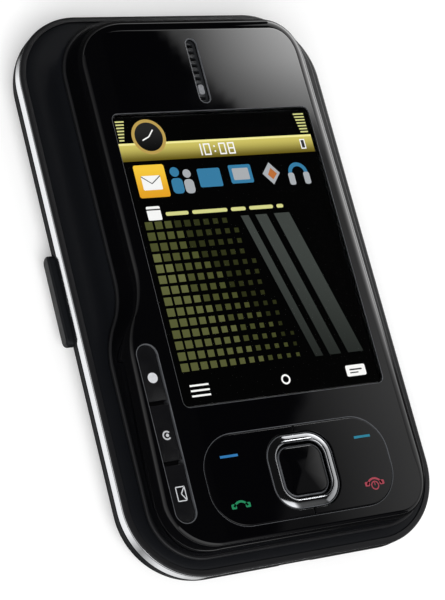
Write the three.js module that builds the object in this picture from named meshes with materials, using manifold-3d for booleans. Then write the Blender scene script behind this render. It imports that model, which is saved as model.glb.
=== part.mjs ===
// Slider phone: a display half that slides sideways over a keyboard half.
// Millimetres. Back face on Z = 0, display facing +Z, earpiece towards +Y, slide along +X.

import * as THREE from 'three';
import { mergeVertices } from 'three/addons/utils/BufferGeometryUtils.js';
import Module from 'manifold-3d';

const wasm = await Module();
wasm.setup();

// Driving dimensions
const bodyLength = 96.2;
const bodyWidth = 57.6;
const bodyCorner = 12.5;
const lowerHeight = 8.9;
const halvesGap = 0.3;
const upperHeight = 6.3;
const slideTravel = 29;

// Display half seen from the front: how far it stands in from the keyboard half
const upperRightMargin = 1.8;
const upperLeftMargin = 3.15;
const upperTopMargin = 1.65;
const upperBottomMargin = 2.45;
const upperCorner = 10.5;
const waistStep = 4.15;
const waistLength = 14.5;
const waistTopY = 0.7;

// Walls
const shellWall = 1.4;
const shellFloor = 1.8;
const rearRounding = 5;
const coverWall = 1.3;
const deckThickness = 1.2;
const boardThickness = 0.7;
const carriageThickness = 0.7;

// Display window, inside the display half
const windowLeftMargin = 3.6;
const windowRightMargin = 7.1;
const windowTopMargin = 19.35;
const windowBottomMargin = 22.75;
const windowCorner = 1.2;
const windowThickness = 0.8;

// Key cluster under the display
const clusterLeftMargin = 8.35;
const clusterRightMargin = 10.1;
const clusterBottomMargin = 2.95;
const clusterHeight = 15;
const clusterCorner = 6.2;

// Keyboard
const keyRows = 4;
const keyColumns = 11;

// Clearances
const partGap = 0.1;
const keyGap = 0.3;
const runGap = 0.15;
const pressRoom = 0.35;
const overrun = 1;

// Angles and facets
const quarter = Math.PI / 2;
const cornerSteps = 6;
const smallSteps = 2;
const waistSteps = 4;
const roundSides = 12;
const finePegSides = 24;
const smallPegSides = 8;

// Heights, from the back face up
const batteryCoverThickness = 1;
const lipHeight = batteryCoverThickness + partGap;
const bandSink = 0.25;
const bandHeight = 2.4;
const bandTop = lowerHeight - bandSink;
const bandBase = bandTop - bandHeight;
const shellTop = bandBase - partGap;
const deckUnder = lowerHeight - deckThickness;
const capSink = 0.25;
const capHeight = 0.9;
const capTop = lowerHeight - capSink;
const capBottom = capTop - capHeight;
const stripThickness = 0.4;
const stripBottom = capBottom - stripThickness;
const sheetThickness = 0.2;
const sheetTop = stripBottom - pressRoom;
const sheetBottom = sheetTop - sheetThickness;
const boardTop = sheetBottom - partGap;
const boardBottom = boardTop - boardThickness;
const underBoard = boardBottom - partGap;
const onFloor = shellFloor + partGap;

// Heights of the slide, from the keyboard half up into the display half
const basePlateThickness = 0.7;
const pocketDepth = 1.3;
const pocketFloor = lowerHeight - pocketDepth;
const pocketSlab = 0.8;
const basePlateBottom = pocketFloor + partGap;
const basePlateTop = basePlateBottom + basePlateThickness;
const slidePlane = lowerHeight + halvesGap;
const carriageTop = slidePlane + carriageThickness;
const shoeFootBottom = basePlateTop + partGap;
const shoeFootTop = slidePlane - runGap;
const shoeHeadThickness = 0.7;
const shoeHeadBottom = carriageTop + runGap;
const shoeHeadTop = shoeHeadBottom + shoeHeadThickness;
const springRoom = 0.75;
const bracketThickness = 0.5;
const bracketBottom = shoeHeadTop + springRoom;
const bracketTop = bracketBottom + bracketThickness;

// Heights of the display half, from its face down
const face = slidePlane + upperHeight;
const coverUnder = face - coverWall;
const plateKeyBottom = coverUnder - 2 * partGap;
const actuatorThickness = 0.3;
const actuatorTop = plateKeyBottom - pressRoom + partGap;
const actuatorBottom = actuatorTop - actuatorThickness;
const keyBoardTop = actuatorBottom - pressRoom;
const keyBoardBottom = keyBoardTop - boardThickness;
const frameHeight = 0.9;
const frameTop = slidePlane + frameHeight;
const coverBase = frameTop + partGap;

// Edges of the two halves seen from the front
const bodyRight = bodyWidth / 2;
const bodyTop = bodyLength / 2;
const upperRight = bodyRight - upperRightMargin;
const upperLeft = upperLeftMargin - bodyRight;
const upperTop = bodyTop - upperTopMargin;
const upperBottom = upperBottomMargin - bodyTop;
const waistLeft = upperLeft + waistStep;
const waistBottomY = waistTopY - waistLength;

// Outlines: a list of round corners, anticlockwise. A hollow corner bends the outline the other way.
function corner(x, y, radius, from, to, hollow = false) {
  return { x, y, radius, from, to, hollow };
}

function rectangle(left, right, bottom, top, radius) {
  return [
    corner(right - radius, top - radius, radius, 0, quarter),
    corner(left + radius, top - radius, radius, quarter, 2 * quarter),
    corner(left + radius, bottom + radius, radius, 2 * quarter, 3 * quarter),
    corner(right - radius, bottom + radius, radius, 3 * quarter, 4 * quarter),
  ];
}

function centredRectangle(x, y, width, height, radius) {
  return rectangle(x - width / 2, x + width / 2, y - height / 2, y + height / 2, radius);
}

// The display half is narrower beside the display and steps out in an S below it
function waistedOutline() {
  const swing = 2 * Math.atan(waistStep / waistLength);
  const bend = waistLength / (2 * Math.sin(swing));
  const [topRight, , bottomLeft, bottomRight] =
    rectangle(upperLeft, upperRight, upperBottom, upperTop, upperCorner);
  return [
    topRight,
    corner(waistLeft + upperCorner, upperTop - upperCorner, upperCorner, quarter, 2 * quarter),
    corner(waistLeft - bend, waistTopY, bend, 0, -swing, true),
    corner(upperLeft + bend, waistBottomY, bend, 2 * quarter - swing, 2 * quarter),
    bottomLeft,
    bottomRight,
  ];
}

const bodyOutline = rectangle(-bodyRight, bodyRight, -bodyTop, bodyTop, bodyCorner);
const upperOutline = waistedOutline();

// Points of an outline drawn in by an inset
function trace(outline, inset = 0, steps = cornerSteps) {
  return outline.flatMap(({ x, y, radius, from, to, hollow }) => {
    const reach = hollow ? radius + inset : radius - inset;
    const arcSteps = Math.abs(to - from) < quarter ? waistSteps : steps;
    const points = Array.from({ length: hollow ? arcSteps : arcSteps + 1 }, (_, i) => {
      const angle = from + ((to - from) * i) / arcSteps;
      return new THREE.Vector2(x + reach * Math.cos(angle), y + reach * Math.sin(angle));
    });
    return points;
  });
}

// Solids
function solidOf(geometry) {
  geometry.deleteAttribute('normal');
  geometry.deleteAttribute('uv');
  const welded = mergeVertices(geometry);
  const vertProperties = new Float32Array(welded.attributes.position.array);
  const triVerts = new Uint32Array(welded.index.array);
  return new wasm.Manifold(new wasm.Mesh({ numProp: 3, vertProperties, triVerts }));
}

function geometryOf(solid) {
  const mesh = solid.getMesh();
  const geometry = new THREE.BufferGeometry();
  geometry.setAttribute('position', new THREE.BufferAttribute(mesh.vertProperties, 3));
  geometry.setIndex(new THREE.BufferAttribute(mesh.triVerts, 1));
  geometry.computeVertexNormals();
  return geometry;
}

function join(first, ...others) {
  return others.reduce((whole, solid) => whole.add(solid), first);
}

function cut(whole, ...tools) {
  return tools.reduce((rest, tool) => rest.subtract(tool), whole);
}

// Straight-walled solid over a list of points, between two heights
function slabOf(points, low, high) {
  const geometry = new THREE.ExtrudeGeometry(new THREE.Shape(points), {
    depth: high - low,
    bevelEnabled: false,
  });
  return solidOf(geometry.translate(0, 0, low));
}

function slab(outline, low, high, inset = 0, steps = cornerSteps) {
  return slabOf(trace(outline, inset, steps), low, high);
}

function box(left, right, front, back, low, high) {
  const geometry = new THREE.BoxGeometry(right - left, back - front, high - low);
  return solidOf(geometry.translate((left + right) / 2, (front + back) / 2, (low + high) / 2));
}

function peg(x, y, radius, low, high, sides = roundSides) {
  const geometry = new THREE.CylinderGeometry(radius, radius, high - low, sides);
  geometry.rotateX(quarter);
  return solidOf(geometry.translate(x, y, (low + high) / 2));
}

// Turned solid on a vertical axis; its profile is a list of radius and height pairs from axis to axis
function turned(x, y, profile, sides = roundSides) {
  const points = profile.map(([radius, height]) => new THREE.Vector2(radius, height));
  const geometry = new THREE.LatheGeometry(points, sides);
  geometry.rotateX(quarter);
  return solidOf(geometry.translate(x, y, 0));
}

// Skin over a stack of rings that have the same number of points, closed at both ends
function loftGeometry(rings) {
  const count = rings[0].points.length;
  const positions = rings.flatMap(({ points, z }) => points.flatMap(({ x, y }) => [x, y, z]));
  const triangles = [];
  for (let level = 0; level + 1 < rings.length; level += 1) {
    for (let i = 0; i < count; i += 1) {
      const here = level * count + i;
      const next = level * count + ((i + 1) % count);
      triangles.push(here, next, next + count, here, next + count, here + count);
    }
  }
  const lastRing = (rings.length - 1) * count;
  for (const [a, b, c] of THREE.ShapeUtils.triangulateShape(rings[0].points, [])) {
    triangles.push(a, c, b);
  }
  for (const [a, b, c] of THREE.ShapeUtils.triangulateShape(rings[rings.length - 1].points, [])) {
    triangles.push(lastRing + a, lastRing + b, lastRing + c);
  }
  const geometry = new THREE.BufferGeometry();
  geometry.setAttribute('position', new THREE.Float32BufferAttribute(positions, 3));
  geometry.setIndex(triangles);
  return geometry;
}

// Loft of one outline: each level is an inset and a height
function loft(outline, levels, steps = cornerSteps) {
  return solidOf(loftGeometry(levels.map(([inset, z]) => ({ points: trace(outline, inset, steps), z }))));
}

// Inset and height of a rounded edge that turns from upright to flat, or back
function shoulderLevels(inset, height, reach, rise, steps) {
  return Array.from({ length: steps + 1 }, (_, i) => {
    const angle = (quarter * i) / steps;
    return [inset + reach * (1 - Math.cos(angle)), height + rise * Math.sin(angle)];
  });
}

// Directions for parts that look out of a side: local X runs along the side, local Z points outwards
const outwards = {
  left: [new THREE.Vector3(0, 1, 0), new THREE.Vector3(0, 0, -1), new THREE.Vector3(-1, 0, 0)],
  right: [new THREE.Vector3(0, 1, 0), new THREE.Vector3(0, 0, 1), new THREE.Vector3(1, 0, 0)],
  top: [new THREE.Vector3(1, 0, 0), new THREE.Vector3(0, 0, -1), new THREE.Vector3(0, 1, 0)],
  bottom: [new THREE.Vector3(1, 0, 0), new THREE.Vector3(0, 0, 1), new THREE.Vector3(0, -1, 0)],
};

function onSide(side, along, height, geometry) {
  const [alongAxis, , outAxis] = outwards[side];
  const facing = new THREE.Matrix4().makeBasis(...outwards[side]);
  const reach = Math.abs(outAxis.x) * bodyRight + Math.abs(outAxis.y) * bodyTop;
  const place = outAxis.clone().multiplyScalar(reach).addScaledVector(alongAxis, along);
  return solidOf(geometry.applyMatrix4(facing).translate(place.x, place.y, height));
}

function sideSlab(side, along, height, outline, low, high, steps = smallSteps) {
  return onSide(side, along, height, loftGeometry([
    { points: trace(outline, 0, steps), z: low },
    { points: trace(outline, 0, steps), z: high },
  ]));
}

// Finishes
const glossBlack = { color: 0x050506, roughness: 0.08, metalness: 0 };
const softBlack = { color: 0x14161a, roughness: 0.62, metalness: 0 };
const satinGrey = { color: 0x26282b, roughness: 0.4, metalness: 0 };
const chromeTrim = { color: 0xd8dadd, roughness: 0.12, metalness: 1 };
const darkChrome = { color: 0x55585c, roughness: 0.18, metalness: 1 };
const steel = { color: 0x9a9da1, roughness: 0.35, metalness: 1 };
const blackPlastic = { color: 0x17181a, roughness: 0.5, metalness: 0 };
const rubberGrey = { color: 0x3c3f42, roughness: 0.8, metalness: 0 };
const boardGreen = { color: 0x1f5a3a, roughness: 0.55, metalness: 0 };
const goldContact = { color: 0xc9a03a, roughness: 0.3, metalness: 1 };
const cellWhite = { color: 0xb9bcc0, roughness: 0.5, metalness: 0 };
const amberFlex = { color: 0xa8641e, roughness: 0.4, metalness: 0 };
const windowGlass = { color: 0x08090b, roughness: 0.04, metalness: 0 };

const phone = new THREE.Group();
const lowerHalf = new THREE.Group();
const upperHalf = new THREE.Group();
phone.add(lowerHalf, upperHalf);

function addPart(half, name, finish, solid) {
  const mesh = new THREE.Mesh(geometryOf(solid), new THREE.MeshStandardMaterial(finish));
  mesh.name = name;
  half.add(mesh);
}

// Back: battery bay, cover and screws
const backMargin = 5.3;
const backTopMargin = 24.5;
const backCorner = 7;
const bayLip = 5.5;
const bayWall = 0.8;
const bayCorner = 1.5;
const backLeft = backMargin - bodyRight;
const backRight = bodyRight - backMargin;
const backBottom = backMargin + partGap - bodyTop;
const backTop = bodyTop - backTopMargin;
const bayLeft = backLeft + bayLip;
const bayRight = backRight - bayLip;
const bayBottom = backBottom + bayLip;
const bayTop = backTop - bayLip;
const backOutline = rectangle(backLeft, backRight, backBottom, backTop, backCorner);
const bayOutline = rectangle(bayLeft, bayRight, bayBottom, bayTop, bayCorner);

const bossRadius = 2;
const bossInset = 2.4;
const shankRadius = 0.6;
const shankHole = 0.8;
const screwHeadRadius = 1.4;
const screwHeadHole = 1.6;
const screwHeadHeight = 0.9;
const shellScrewPlaces = [
  [backLeft + bossInset, bayBottom],
  [backRight - bossInset, bayBottom],
  [backLeft + bossInset, bayTop],
  [backRight - bossInset, bayTop],
];
const screwHeadBase = lipHeight + partGap;
const screwShoulder = screwHeadBase + screwHeadHeight;
const shellScrewTip = pocketFloor - 0.5 * pocketSlab;

// Camera, loudspeaker and the small parts beside them, all in the strip above the battery
const stripMiddle = (backTop + bodyTop - rearRounding) / 2 + partGap;
const lensRadius = 3;
const bezelWidth = 1.6;
const bezelRadius = lensRadius + bezelWidth;
const speakerSideShare = 0.56;
const motorSideShare = 0.5;
const speakerX = -speakerSideShare * bodyRight;
const motorX = motorSideShare * bodyRight;

// Side keys and sockets
const sideKeyHeight = 2.5;
const sideKeyMiddle = 4.2;
const rockerLength = 15.4;
const rockerY = -0.1;
const rockerStand = 1;
const cameraKeyLength = 10;
const cameraKeyY = -23.3;
const cameraKeyStand = 0.6;
const powerKeyLength = 9;
const powerKeyX = -7;
const powerKeyStand = 0.5;
const flangeLip = 0.6;
const flangeHeight = 2;
const flangeThickness = 0.6;
const flangeSet = 0.9;
const usbWidth = 7.6;
const usbHeight = 2.6;
const usbDepth = 5.4;
const jackRadius = 1.3;
const jackWidth = 5;
const jackHeight = 3.2;
const jackLength = 9;
const jackX = 14;
const jackMiddle = underBoard - jackHeight / 2;
const socketDepth = shellWall + rearRounding / 4;
const socketMiddle = underBoard - usbHeight / 2;

function pill(length, height, grow = 0) {
  const radius = height / 2 + grow;
  return centredRectangle(0, 0, length + 2 * grow, height + 2 * grow, radius - partGap / 2);
}

function sideKeyOpening(side, along, length) {
  const reach = rearRounding + shellWall;
  return sideSlab(side, along, sideKeyMiddle, pill(length, sideKeyHeight, keyGap), -reach, overrun,
    cornerSteps - smallSteps);
}

function rearShell() {
  const outer = loft(bodyOutline, [
    ...shoulderLevels(0, 0, rearRounding, rearRounding, 4)
      .map(([inset, rise]) => [inset, rearRounding - rise])
      .reverse(),
    [0, shellTop],
  ]);
  const innerRounding = rearRounding - shellWall;
  const floorTurn = Math.asin((rearRounding - shellFloor) / innerRounding);
  const innerSteps = 2;
  const innerLevels = Array.from({ length: innerSteps + 1 }, (_, i) => {
    const angle = floorTurn * (1 - i / innerSteps);
    return [
      shellWall + innerRounding * (1 - Math.cos(angle)),
      rearRounding - innerRounding * Math.sin(angle),
    ];
  });
  const hollow = loft(bodyOutline, [...innerLevels, [shellWall, shellTop + overrun]]);
  const bayRib = cut(
    slab(bayOutline, shellFloor - partGap, underBoard - overrun, -bayWall),
    slab(bayOutline, 0, shellTop),
  );
  const bosses = shellScrewPlaces.map(([x, y]) =>
    peg(x, y, bossRadius, shellFloor - partGap, underBoard));
  const screwHoles = shellScrewPlaces.flatMap(([x, y]) => [
    peg(x, y, screwHeadHole, 0, screwShoulder + partGap),
    peg(x, y, shankHole, 0, shellTop),
  ]);
  const slotCount = 4;
  const slotWidth = 1;
  const slotPitch = 2.2;
  const slotLength = 7;
  const speakerSlots = Array.from({ length: slotCount }, (_, i) => {
    const x = speakerX + (i - (slotCount - 1) / 2) * slotPitch;
    const outline = centredRectangle(x, stripMiddle, slotWidth, slotLength, slotWidth / 2 - partGap / 2);
    return slab(outline, -overrun, onFloor, 0, 3);
  });
  const usbOpening = centredRectangle(0, 0, usbWidth + 2 * keyGap, usbHeight + 2 * keyGap, keyGap);
  const reach = rearRounding + shellWall;
  return cut(
    join(cut(outer, hollow), bayRib, ...bosses),
    slab(backOutline, -overrun, lipHeight, -partGap),
    slab(bayOutline, 0, shellFloor + overrun),
    ...screwHoles,
    ...speakerSlots,
    peg(0, stripMiddle, bezelRadius + partGap, -overrun, onFloor, finePegSides),
    sideKeyOpening('left', rockerY, rockerLength),
    sideKeyOpening('right', cameraKeyY, cameraKeyLength),
    sideKeyOpening('top', powerKeyX, powerKeyLength),
    sideSlab('bottom', 0, socketMiddle, usbOpening, -reach, overrun),
    onSide('top', jackX, jackMiddle, new THREE.CylinderGeometry(
      jackRadius + keyGap, jackRadius + keyGap, 2 * reach, roundSides).rotateX(quarter)),
  );
}

function batteryCover() {
  const ribHeight = 0.6;
  const ribLength = 3;
  const ribThickness = 0.5;
  const ribSpacing = 0.5 * (bayRight - bayLeft) - ribLength;
  const ribs = [-1, 1].flatMap((end) => [-1, 1].map((hand) => {
    const edge = end < 0 ? bayBottom + partGap : bayTop - partGap - ribThickness;
    const middle = (hand * ribSpacing) / 2;
    const top = batteryCoverThickness + ribHeight;
    return box(middle - ribLength / 2, middle + ribLength / 2, edge, edge + ribThickness,
      batteryCoverThickness - partGap, top);
  }));
  const gripCount = 4;
  const gripPitch = 2;
  const gripWidth = 0.8;
  const gripDepth = 0.3;
  const gripLength = 14;
  const gripStart = backBottom + backCorner / 2;
  const grips = Array.from({ length: gripCount }, (_, i) => {
    const y = gripStart + i * gripPitch;
    return box(-gripLength / 2, gripLength / 2, y, y + gripWidth, -overrun, gripDepth);
  });
  return cut(join(slab(backOutline, 0, batteryCoverThickness), ...ribs), ...grips);
}

// Battery cell, its bay contacts and the card holder above it
const cellGap = 0.6;
const simHeight = 1;
const contactDepth = 2;
const batteryBottom = batteryCoverThickness + 0.5 * keyGap;
const batteryTop = underBoard - simHeight - partGap;
const batteryUp = bayTop - contactDepth - cellGap;

function battery() {
  const ribClearance = 0.4;
  const outline = rectangle(bayLeft + cellGap, bayRight - cellGap,
    bayBottom + cellGap + ribClearance, batteryUp, bayCorner);
  return slab(outline, batteryBottom, batteryTop, 0, 3);
}

function batteryContacts() {
  const width = 9;
  const grooveDepth = 0.95;
  const block = box(-width / 2, width / 2, batteryUp + partGap, bayTop - partGap,
    shellFloor + partGap, underBoard);
  const grooveCount = 2;
  const grooves = Array.from({ length: grooveCount }, (_, i) => {
    const x = (i - (grooveCount - 1) / 2) * (width / (grooveCount + 1));
    return box(x - partGap, x + partGap, batteryUp - overrun, batteryUp + grooveDepth,
      shellFloor, underBoard + overrun);
  });
  return cut(block, ...grooves);
}

function simHolder() {
  const width = 16;
  const length = 15;
  const edge = 1.2;
  const bottom = underBoard - simHeight;
  const middle = (bayBottom + bayTop) / 2;
  return cut(
    box(-width / 2, width / 2, middle - length / 2, middle + length / 2, bottom, underBoard),
    box(edge - width / 2, width / 2 - edge, middle - length / 2 + edge, middle + length / 2 + overrun,
      bottom - overrun, underBoard - simHeight / 2),
  );
}

function cameraBezel() {
  const chamfer = 0.4;
  const sink = 0.1;
  const top = shellFloor;
  const outline = [
    [0, top],
    [bezelRadius, top],
    [bezelRadius, sink + chamfer],
    [bezelRadius - chamfer, sink],
    [0, sink],
  ].reverse();
  return cut(
    turned(0, stripMiddle, outline, finePegSides),
    peg(0, stripMiddle, lensRadius, -overrun, top + overrun, finePegSides),
  );
}

function cameraWindow() {
  const sink = 0.5;
  const thickness = 0.7;
  return peg(0, stripMiddle, lensRadius - partGap, sink, sink + thickness, finePegSides);
}

function cameraModule() {
  const bodySize = 8.5;
  const barrelRadius = 2.6;
  const barrelTop = onFloor + 1.2;
  return join(
    box(-bodySize / 2, bodySize / 2, stripMiddle - bodySize / 2, stripMiddle + bodySize / 2,
      barrelTop, underBoard),
    peg(0, stripMiddle, barrelRadius, onFloor, barrelTop + partGap, finePegSides),
  );
}

function loudspeaker() {
  const width = 10;
  const length = 12;
  const height = 3;
  const rim = 0.8;
  const domeRadius = 2.8;
  const body = centredRectangle(speakerX, stripMiddle, width, length, width / 4);
  return join(
    cut(slab(body, onFloor, onFloor + height, 0, 4),
      slab(body, 0, onFloor + rim, rim, 4)),
    peg(speakerX, stripMiddle, domeRadius, onFloor + partGap, onFloor + rim + partGap),
  );
}

function vibrationMotor() {
  const radius = 1.9;
  const length = 9;
  const weightLength = 3;
  const weightGap = 0.4;
  const shaftRadius = 0.5;
  const start = backTop + shellWall;
  const middle = onFloor + radius;
  const barrel = (barrelRadius, from, barrelLength) => solidOf(
    new THREE.CylinderGeometry(barrelRadius, barrelRadius, barrelLength, roundSides)
      .translate(motorX, start + from + barrelLength / 2, middle));
  const underHalf = box(motorX - 2 * radius, motorX + 2 * radius, start - overrun,
    start + weightLength, middle - 2 * radius, middle);
  return join(
    cut(barrel(radius, 0, weightLength), underHalf),
    barrel(shaftRadius, partGap, length - 2 * partGap),
    barrel(radius, weightLength + weightGap, length - weightLength - weightGap),
  );
}

function mainBoard() {
  const boardInset = 2.2;
  const holes = shellScrewPlaces.map(([x, y]) =>
    peg(x, y, shankHole + partGap, boardBottom - overrun, boardTop + overrun));
  return cut(slab(bodyOutline, boardBottom, boardTop, boardInset, 4), ...holes);
}

function shieldCan() {
  const width = 20;
  const length = 5;
  const height = 1.6;
  const rounding = 0.8;
  const middleY = bayTop + bayWall + length / 2 + keyGap;
  const wallThickness = 0.3;
  const outline = centredRectangle(0, middleY, width, length, rounding);
  return cut(
    slab(outline, underBoard - height, underBoard, 0, 2),
    slab(outline, underBoard - height + wallThickness, underBoard + overrun, wallThickness, 2),
  );
}

function antenna() {
  const socketSet = 2;
  const cornerReach = 3;
  const left = usbWidth / 2 + socketSet;
  const right = bodyRight - bodyCorner + cornerReach;
  const bottom = rearRounding - bodyTop;
  const top = bayBottom - bayWall - keyGap;
  const height = 2.6;
  const legWidth = 1.4;
  return cut(
    box(left, right, bottom, top, underBoard - height, underBoard),
    box(left + legWidth, right - legWidth, bottom + legWidth, top + overrun,
      underBoard - height - overrun, underBoard - legWidth / 2),
  );
}

function usbSocket() {
  const wallThickness = 0.4;
  const mouthDepth = 0.9;
  const rounding = 0.5;
  const outer = centredRectangle(0, 0, usbWidth, usbHeight, rounding);
  const tongueHeight = 0.5;
  const tongueWidth = usbWidth / 2;
  const mouth = centredRectangle(0, 0, usbWidth - 2 * wallThickness, usbHeight - 2 * wallThickness,
    rounding - wallThickness / 2);
  const tongue = centredRectangle(0, 0, tongueWidth, tongueHeight, tongueHeight / 4);
  const deep = -mouthDepth - usbDepth;
  return join(
    cut(sideSlab('bottom', 0, socketMiddle, outer, deep, -mouthDepth),
      sideSlab('bottom', 0, socketMiddle, mouth, deep + 2 * wallThickness, overrun)),
    sideSlab('bottom', 0, socketMiddle, tongue, deep + wallThickness, -mouthDepth - wallThickness),
  );
}

function audioJack() {
  const body = centredRectangle(0, 0, jackWidth, jackHeight, jackHeight / 6);
  const bore = new THREE.CylinderGeometry(jackRadius, jackRadius, 2 * jackLength, roundSides);
  return cut(
    sideSlab('top', jackX, jackMiddle, body, -socketDepth - jackLength, -socketDepth),
    onSide('top', jackX, jackMiddle, bore.rotateX(quarter).translate(0, 0, overrun - socketDepth)),
  );
}

// A side key: pill-shaped cap through the wall, with a flange behind it
function sideKey(side, along, length, stand) {
  const dome = 0.35;
  const capOutline = pill(length, sideKeyHeight);
  const flangeOutline = pill(length + 2 * flangeLip, flangeHeight);
  const wallInner = -shellWall - flangeSet;
  const capSteps = cornerSteps - smallSteps;
  const cap = onSide(side, along, sideKeyMiddle, loftGeometry([
    { points: trace(capOutline, 0, capSteps), z: wallInner - partGap },
    { points: trace(capOutline, 0, capSteps), z: stand - dome },
    { points: trace(capOutline, dome, capSteps), z: stand },
  ]));
  const flange = sideSlab(side, along, sideKeyMiddle, flangeOutline, wallInner - flangeThickness, wallInner);
  return join(cap, flange);
}

const switchRoom = 0.6;
const switchWidth = 3;
const switchDepth = 1.9;
const switchHeight = 1.5;
const switchMiddle = underBoard - switchHeight / 2;
const switchNear = -shellWall - flangeSet - flangeThickness - switchRoom;

function sideSwitch(side, along) {
  const outline = centredRectangle(0, 0, switchWidth, switchHeight, switchHeight / 6);
  const button = centredRectangle(0, 0, switchWidth / 2, switchHeight / 2, switchHeight / 6);
  return join(
    sideSlab(side, along, switchMiddle, outline, switchNear - switchDepth, switchNear - partGap),
    sideSlab(side, along, switchMiddle, button, switchNear - switchDepth / 2, switchNear),
  );
}

function volumeSwitches() {
  const spread = rockerLength / 3;
  const strip = centredRectangle(0, 0, 2 * spread, switchHeight, switchHeight / 6);
  return join(
    sideSwitch('left', rockerY - spread),
    sideSwitch('left', rockerY + spread),
    sideSlab('left', rockerY, switchMiddle, strip, switchNear - switchDepth, switchNear - switchDepth / 2),
  );
}

// Trim band and keyboard deck
const bandThickness = 0.8;
const deckInset = bandThickness + 1.5 * partGap;

function trimBand() {
  const edge = 0.15;
  const outer = loft(bodyOutline, [
    [edge, bandBase],
    [0, bandBase + 2 * edge],
    [0, bandTop - 2.5 * edge],
    [edge, bandTop - edge],
    [2.5 * edge, bandTop],
  ]);
  return cut(outer, slab(bodyOutline, bandBase - overrun, bandTop + overrun, bandThickness));
}

const wellMargin = 1.9;
const wellCorner = 1.4;
const wellEndMargin = 6.5;
const exposedMargin = 7;
const wellLeft = waistLeft + wellMargin;
const wellRight = wellLeft + slideTravel - exposedMargin;
const wellTop = bodyTop - wellEndMargin;
const wellOutline = rectangle(wellLeft, wellRight, -wellTop, wellTop, wellCorner);
const rowPitch = (wellRight - wellLeft) / keyRows;
const columnPitch = (2 * wellTop) / keyColumns;

// The slide: a base plate with two T-shaped shoes that run in slots of the carriage
const baseHideMargin = 1.8;
const baseEdgeMargin = 3.2;
const baseEndMargin = 8.5;
const baseCorner = 2;
const baseLeft = waistLeft + slideTravel + baseHideMargin;
const baseRight = bodyRight - baseEdgeMargin;
const baseTop = bodyTop - baseEndMargin;
const baseOutline = rectangle(baseLeft, baseRight, -baseTop, baseTop, baseCorner);
const shoeEndMargin = 12.5;
const shoeY = bodyTop - shoeEndMargin;
const shoeMargin = 2.2;
const shoeLeft = baseLeft + shoeMargin;
const shoeRight = baseRight - shoeMargin;
const shoeNeckWidth = 3.2;
const shoeHeadWidth = 6;
const shoeMiddle = (shoeLeft + shoeRight) / 2;
const stakeRadius = 0.7;
const stakeHeadRadius = 1.2;
const stakeHeadHeight = 0.3;
const stakeInset = 2.4;
const stakeStep = 2.2;
const stakeY = shoeY - shoeHeadWidth / 2 - stakeStep;
const stakePlaces = [baseLeft + stakeInset, baseRight - stakeInset]
  .flatMap((x) => [-1, 1].map((hand) => [x, hand * stakeY]));

// Ribbon cable between the halves, folded once in a channel of the deck
const flexWidth = 9;
const flexPlaceShare = 0.36;
const flexY = -flexPlaceShare * bodyTop;
const flexThickness = 0.15;
const channelMargin = 0.6;
const channelSet = 2;
const channelLeft = wellRight + channelSet;
const channelRight = baseRight;
const channelLow = flexY - flexWidth / 2 - channelMargin;
const channelHigh = flexY + flexWidth / 2 + channelMargin;
const slitWidth = 1;
const foldSet = 1.4;
const slitSet = 2.6;
const flexFoldX = channelLeft + foldSet;
const flexDownX = channelRight - slitSet;
const flexUpX = flexFoldX + slideTravel / 2;

function keyboardDeck() {
  const edge = 0.2;
  const skirtWidth = 1.1;
  const pocketWall = 0.5;
  const plate = loft(bodyOutline, [
    [deckInset, deckUnder],
    [deckInset, lowerHeight - edge],
    [deckInset + edge, lowerHeight],
  ]);
  const skirt = cut(
    slab(bodyOutline, bandBase, deckUnder + partGap, deckInset),
    slab(bodyOutline, bandBase - overrun, deckUnder + overrun, deckInset + skirtWidth),
  );
  const pocketOutline = rectangle(baseLeft, baseRight, -baseTop, baseTop, baseCorner);
  const slabUnder = pocketFloor - pocketSlab;
  const pocketBody = slab(pocketOutline, slabUnder, deckUnder + partGap, -partGap - pocketWall);
  const channelBody = box(channelLeft - pocketWall, channelRight, channelLow - pocketWall,
    channelHigh + pocketWall, slabUnder, deckUnder + partGap);
  const bosses = shellScrewPlaces.map(([x, y]) =>
    peg(x, y, bossRadius, boardTop + partGap, deckUnder + partGap));
  const bossHoles = shellScrewPlaces.map(([x, y]) =>
    peg(x, y, shankHole, boardTop, shellScrewTip + partGap));
  const stakes = stakePlaces.flatMap(([x, y]) => [
    peg(x, y, stakeRadius, pocketFloor - partGap, basePlateTop - partGap, smallPegSides),
    peg(x, y, stakeHeadRadius, basePlateTop - partGap / 2 - stakeHeadHeight,
      basePlateTop - partGap / 2, smallPegSides),
  ]);
  const deck = cut(
    join(plate, skirt, pocketBody, channelBody, ...bosses),
    slab(wellOutline, deckUnder - overrun, lowerHeight + overrun),
    slab(pocketOutline, pocketFloor, lowerHeight + overrun, -partGap),
    box(channelLeft, channelRight, channelLow, channelHigh, pocketFloor, lowerHeight + overrun),
    box(flexDownX - slitWidth / 2, flexDownX + slitWidth / 2, channelLow, channelHigh,
      slabUnder - overrun, pocketFloor + overrun),
    ...bossHoles,
  );
  return join(deck, ...stakes);
}

function shellScrew([x, y]) {
  return turned(x, y, [
    [0, screwHeadBase],
    [screwHeadRadius, screwHeadBase],
    [screwHeadRadius, screwShoulder],
    [shankRadius, screwShoulder],
    [shankRadius, shellScrewTip],
    [0, shellScrewTip],
  ]);
}

// The base plate is held by stakes of the deck, whose heads lie in counterbores
function slideBasePlate() {
  const seat = basePlateTop - 1.5 * partGap - stakeHeadHeight;
  return cut(
    slab(baseOutline, basePlateBottom, basePlateTop, 0, 4),
    box(baseLeft - overrun, flexDownX + slitWidth, channelLow, channelHigh,
      basePlateBottom - overrun, basePlateTop + overrun),
    ...stakePlaces.flatMap(([x, y]) => [
      peg(x, y, stakeRadius + partGap, basePlateBottom - overrun, basePlateTop + overrun, smallPegSides),
      peg(x, y, stakeHeadRadius + partGap, seat, basePlateTop + overrun, smallPegSides),
    ]),
  );
}

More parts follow.
